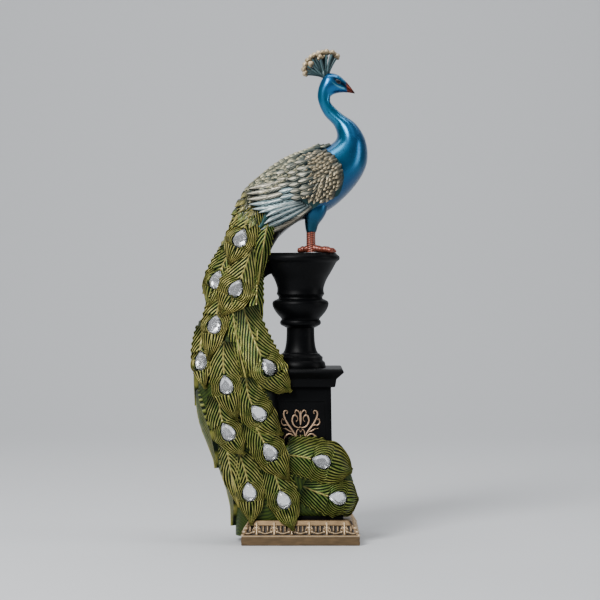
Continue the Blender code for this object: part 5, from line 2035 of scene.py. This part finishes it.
@dataclass
class RumpFeathers:
    """Short pointed feathers, in rows like roof tiles, where the back meets the train."""

    seed: int = 21
    rows: int = 7

    def build(self, body: BVHTree) -> bpy.types.Object:
        """Carve them on both sides.

        Args:
            body: the body's and the train's surface.

        Returns:
            Their piece.
        """
        chance = random.Random(self.seed)
        made = Carving()
        carver = Carver(body, made)
        for look in (FROM_FRONT, FROM_BACK):
            for row in range(self.rows, -1, -1):
                for k in range(-1, 5):
                    x = -22.0 - 1.45 * row + 2.0 * k + chance.uniform(-0.5, 0.5)
                    z = 27.5 - 2.15 * row - 1.35 * k + 1.1 * (row % 2) + chance.uniform(-0.5, 0.5)
                    if x > -20.5 or z < 13.8 or (x > -25.0 and z > 19.5):
                        continue
                    turn = math.radians(232 + 4 * k + chance.uniform(-10, 10))
                    step = Vector((math.cos(turn), 0, math.sin(turn))) * DATUM.unit
                    spine = [DATUM.bird(x, z) - step * f for f in (2.4, 0.0, -3.0)]
                    if body.ray_cast(spine[1] - look * REACH, look)[0] is None:
                        continue
                    rise = TILE.rise + 0.0001 * (self.rows - row) + chance.uniform(0, 0.0004)
                    cut = replace(TILE, rise=rise)
                    scheme = RUMP_GOLD if chance.random() < 0.6 else RUMP_GREEN
                    carver.lay(look, spine, chance.uniform(1.5, 2.0) * DATUM.unit, cut, scheme)
        return made.piece("rump_feathers", Finish("rump_gold_green", metallic=0.3, coat=0.1))


# Crystals


@dataclass
class Crystals:
    """Pear crystals with a faceted crown, a keeled back and a silvered cup."""

    girdle_low: float = 0.0012
    girdle_high: float = 0.0016
    top: float = 0.0042
    table: float = 0.56
    sides: int = 9

    @staticmethod
    def seat(node: bpy.types.Object) -> Seat:
        """Read a crystal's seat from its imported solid.

        Args:
            node: the solid.

        Returns:
            The seat.
        """
        mesh = node.data
        areas: dict[tuple, float] = {}
        corners: dict[tuple, set] = {}
        for polygon in mesh.polygons:
            key = tuple(round(c, 2) for c in polygon.normal)
            areas[key] = areas.get(key, 0.0) + polygon.area
            places = corners.setdefault(key, set())
            places.update(tuple(round(c, 6) for c in mesh.vertices[i].co) for i in polygon.vertices)
        back = max(areas, key=lambda key: areas[key])
        up = -Vector(back).normalized()
        points = np.array(sorted(corners[back]))
        centre = points.mean(axis=0)
        ahead = Vector(np.linalg.svd(points - centre)[2][0])
        ahead = (ahead - up * ahead.dot(up)).normalized()
        side = up.cross(ahead).normalized()
        off = points - centre
        lean = sum(abs(Vector(p).dot(side)) * Vector(p).dot(ahead) for p in off)
        if lean < 0:
            ahead, side = -ahead, -side
        return Seat(Vector(centre), ahead, side, up)

    def ring(self, seat: Seat, high: float, scale: float, half_step: bool = False) -> Ring:
        """One ring of the outline at a height and scale over the seat."""
        outline = PEAR.outline(self.sides * 2)[int(half_step) :: 2]
        return [seat.centre + seat.up * high + (seat.ahead * a + seat.side * b) * scale for a, b in outline]

    def build(self, name: str, seat: Seat, crystal: CrystalFinish, foil: Finish) -> list[bpy.types.Object]:
        """Cut one crystal and its foil cup.

        Args:
            name: the crystal's number.
            seat: its seat.
            crystal: the stone's finish.
            foil: the cup's finish.

        Returns:
            The crystal's and the cup's pieces.
        """
        stone = Carving()
        keel = self.ring(seat, 0.0, 0.30)
        waist = self.ring(seat, 0.0006, 0.72, half_step=True)
        low, high = self.ring(seat, self.girdle_low, 1.0), self.ring(seat, self.girdle_high, 1.0)
        crown_high = self.girdle_high + (self.top - self.girdle_high) * 0.62
        crown = self.ring(seat, crown_high, 0.80, half_step=True)
        table = self.ring(seat, self.top, self.table)
        self.facets(stone, [keel, waist, low, high, crown, table])
        made = stone.piece(name, crystal)
        for polygon in made.data.polygons:
            polygon.use_smooth = False
        cup = Carving()
        inner = ((0.00105, 0.985), (0.0005, 0.72), (-0.00008, 0.30))
        outer = ((-0.00020, 0.30), (-0.00020, 0.99), (0.00110, 1.01))
        cup.loft([self.ring(seat, high, scale) for high, scale in (*inner, *outer)], (0.8, 0.8, 0.8))
        backing = cup.piece(name + "_cup", foil)
        return [made, backing]

    @staticmethod
    def facets(stone: Carving, rings: Sequence[Ring]) -> None:
        """Join rings with triangles that point up and down in turn, and cap both ends."""
        count = len(rings[0])
        points = [point for ring in rings for point in ring]
        faces: list[tuple[int, ...]] = []
        shifted = (False, True, False, False, True, False)
        for row in range(len(rings) - 1):
            low, high = row * count, (row + 1) * count
            for i in range(count):
                j = (i + 1) % count
                if shifted[row] == shifted[row + 1]:
                    faces.append((low + i, low + j, high + j, high + i))
                elif shifted[row + 1]:
                    faces += [(low + i, low + j, high + i), (low + j, high + j, high + i)]
                else:
                    faces += [(low + i, high + j, high + i), (low + i, low + j, high + j)]
        faces.append(tuple(range(count))[::-1])
        faces.append(tuple(range(len(points) - count, len(points))))
        stone.add(points, faces, (0.95, 0.96, 0.97))


# The studio


@dataclass
class Studio:
    """Pale floor, soft lights and the photograph's camera."""

    frame_size: int = 600
    sensor: float = 36.0
    focal_pixels: float = 2016.0
    centre_x: float = 300.5
    horizon_y: float = 269.0
    distance: float = 1.4842
    eye_height: float = 0.1984

    def floor(self) -> None:
        """A pale floor that curves up behind."""
        turns = [math.pi / 2 * k / 12 for k in range(13)]
        bend = [(0.9 + 0.9 * math.sin(a), 0.9 - 0.9 * math.cos(a)) for a in turns]
        line = [(-2.2, 0.0), *bend, (1.8, 3.0)]
        points = [(x, y, z) for y, z in line for x in (-4.0, 4.0)]
        faces = [(2 * i, 2 * i + 1, 2 * i + 3, 2 * i + 2) for i in range(len(line) - 1)]
        made = link_mesh("studio_floor", points, [], faces)
        made.data.shade_smooth()
        material = bpy.data.materials.new("studio_pale")
        material.use_nodes = True
        shader = material.node_tree.nodes["Principled BSDF"]
        shader.inputs["Base Color"].default_value = (0.565, 0.58, 0.60, 1.0)
        shader.inputs["Roughness"].default_value = 0.8
        made.data.materials.append(material)

    @staticmethod
    def lamp(name: str, place: Vector, aim: Vector, size: tuple[float, float], power: float) -> None:
        """One soft rectangular lamp.

        Args:
            name: its name.
            place: where it stands.
            aim: what it faces.
            size: its width and height.
            power: its power in watts.
        """
        light = bpy.data.lights.new(name, "AREA")
        light.shape = "RECTANGLE"
        light.size, light.size_y = size
        light.energy = power
        made = bpy.data.objects.new(name, light)
        made.location = place
        made.rotation_euler = (aim - place).to_track_quat("-Z", "Y").to_euler()
        bpy.context.scene.collection.objects.link(made)

    def build(self) -> None:
        """Set floor, world, lamps and camera."""
        self.floor()
        world = bpy.data.worlds.new("studio")
        world.use_nodes = True
        background = world.node_tree.nodes["Background"]
        background.inputs["Color"].default_value = (0.72, 0.75, 0.80, 1.0)
        background.inputs["Strength"].default_value = 0.14
        bpy.context.scene.world = world
        aim = Vector((0, 0, 0.2))
        self.lamp("left_softbox", Vector((-0.60, -0.90, 1.00)), aim, (0.45, 0.7), 25.0)
        self.lamp("right_softbox", Vector((1.1, -0.20, 0.45)), aim, (0.3, 0.9), 3.5)
        self.lamp("top_softbox", Vector((0.0, 0.0, 1.3)), aim, (0.9, 0.5), 9.0)
        self.lamp("back_wash", Vector((0.0, 0.9, 1.5)), Vector((0.0, 1.6, 0.3)), (2.4, 0.6), 15.0)
        lens = bpy.data.cameras.new("photo_camera")
        lens.sensor_width = self.sensor
        lens.lens = self.focal_pixels * self.sensor / self.frame_size
        lens.shift_x = -(self.centre_x - self.frame_size / 2) / self.frame_size
        lens.clip_start, lens.clip_end = 0.05, 20.0
        camera = bpy.data.objects.new("photo_camera", lens)
        camera.location = (0.0, -self.distance, self.eye_height)
        pitch = math.atan((self.frame_size / 2 - self.horizon_y) / self.focal_pixels)
        camera.rotation_euler = (math.pi / 2 - pitch, 0.0, 0.0)
        bpy.context.scene.collection.objects.link(camera)
        bpy.context.scene.camera = camera


def settle(piece: bpy.types.Object, *nodes: str, slot: str = "painted_resin") -> None:
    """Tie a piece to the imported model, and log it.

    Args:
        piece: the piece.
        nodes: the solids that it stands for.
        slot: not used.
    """
    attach(piece, BODY)
    if nodes:
        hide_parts(*nodes)
    LOG.info("%s: %d faces", piece.name, len(piece.data.polygons))


def main() -> None:
    """Build every sub-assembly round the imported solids."""
    logging.basicConfig(level=logging.INFO, format="%(name)s %(message)s")
    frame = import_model()
    gems = sorted(name for name in frame["nodes"] if name.startswith("gem_"))
    seats = [Crystals.seat(frame["nodes"][name]) for name in gems]
    body = bed_of(bird_rings(BED_SIDES, BED_STEPS))
    rump_bed = bed_of(bird_rings(BED_SIDES, BED_STEPS), train_rings(BED_SIDES, 8))

    settle(Plinth().build(), CASTING)
    settle(Pedestal().build(), CASTING)
    settle(Scrollwork().build(), CASTING)
    settle(Urn().build(), CASTING)
    bird = (*Bird().build(), *Legs().build(), *Crest().build())
    for piece in (*bird, *Wings(body).build(), *Train().build(seats)):
        settle(piece, CASTING)
    settle(RumpFeathers().build(rump_bed), CASTING)
    crystal = CrystalFinish()
    foil = Finish("silver_foil", (0.92, 0.93, 0.94), Gloss.MIRROR, 1.0, wander=0.02, tooth=0.0)
    for name, seat in zip(gems, seats):
        stone, cup = Crystals().build(name.replace("gem", "crystal"), seat, crystal, foil)
        settle(stone, name, slot="crystal")
        settle(cup, name, slot="crystal")
    Studio().build()


if __name__ == "__main__":
    main()
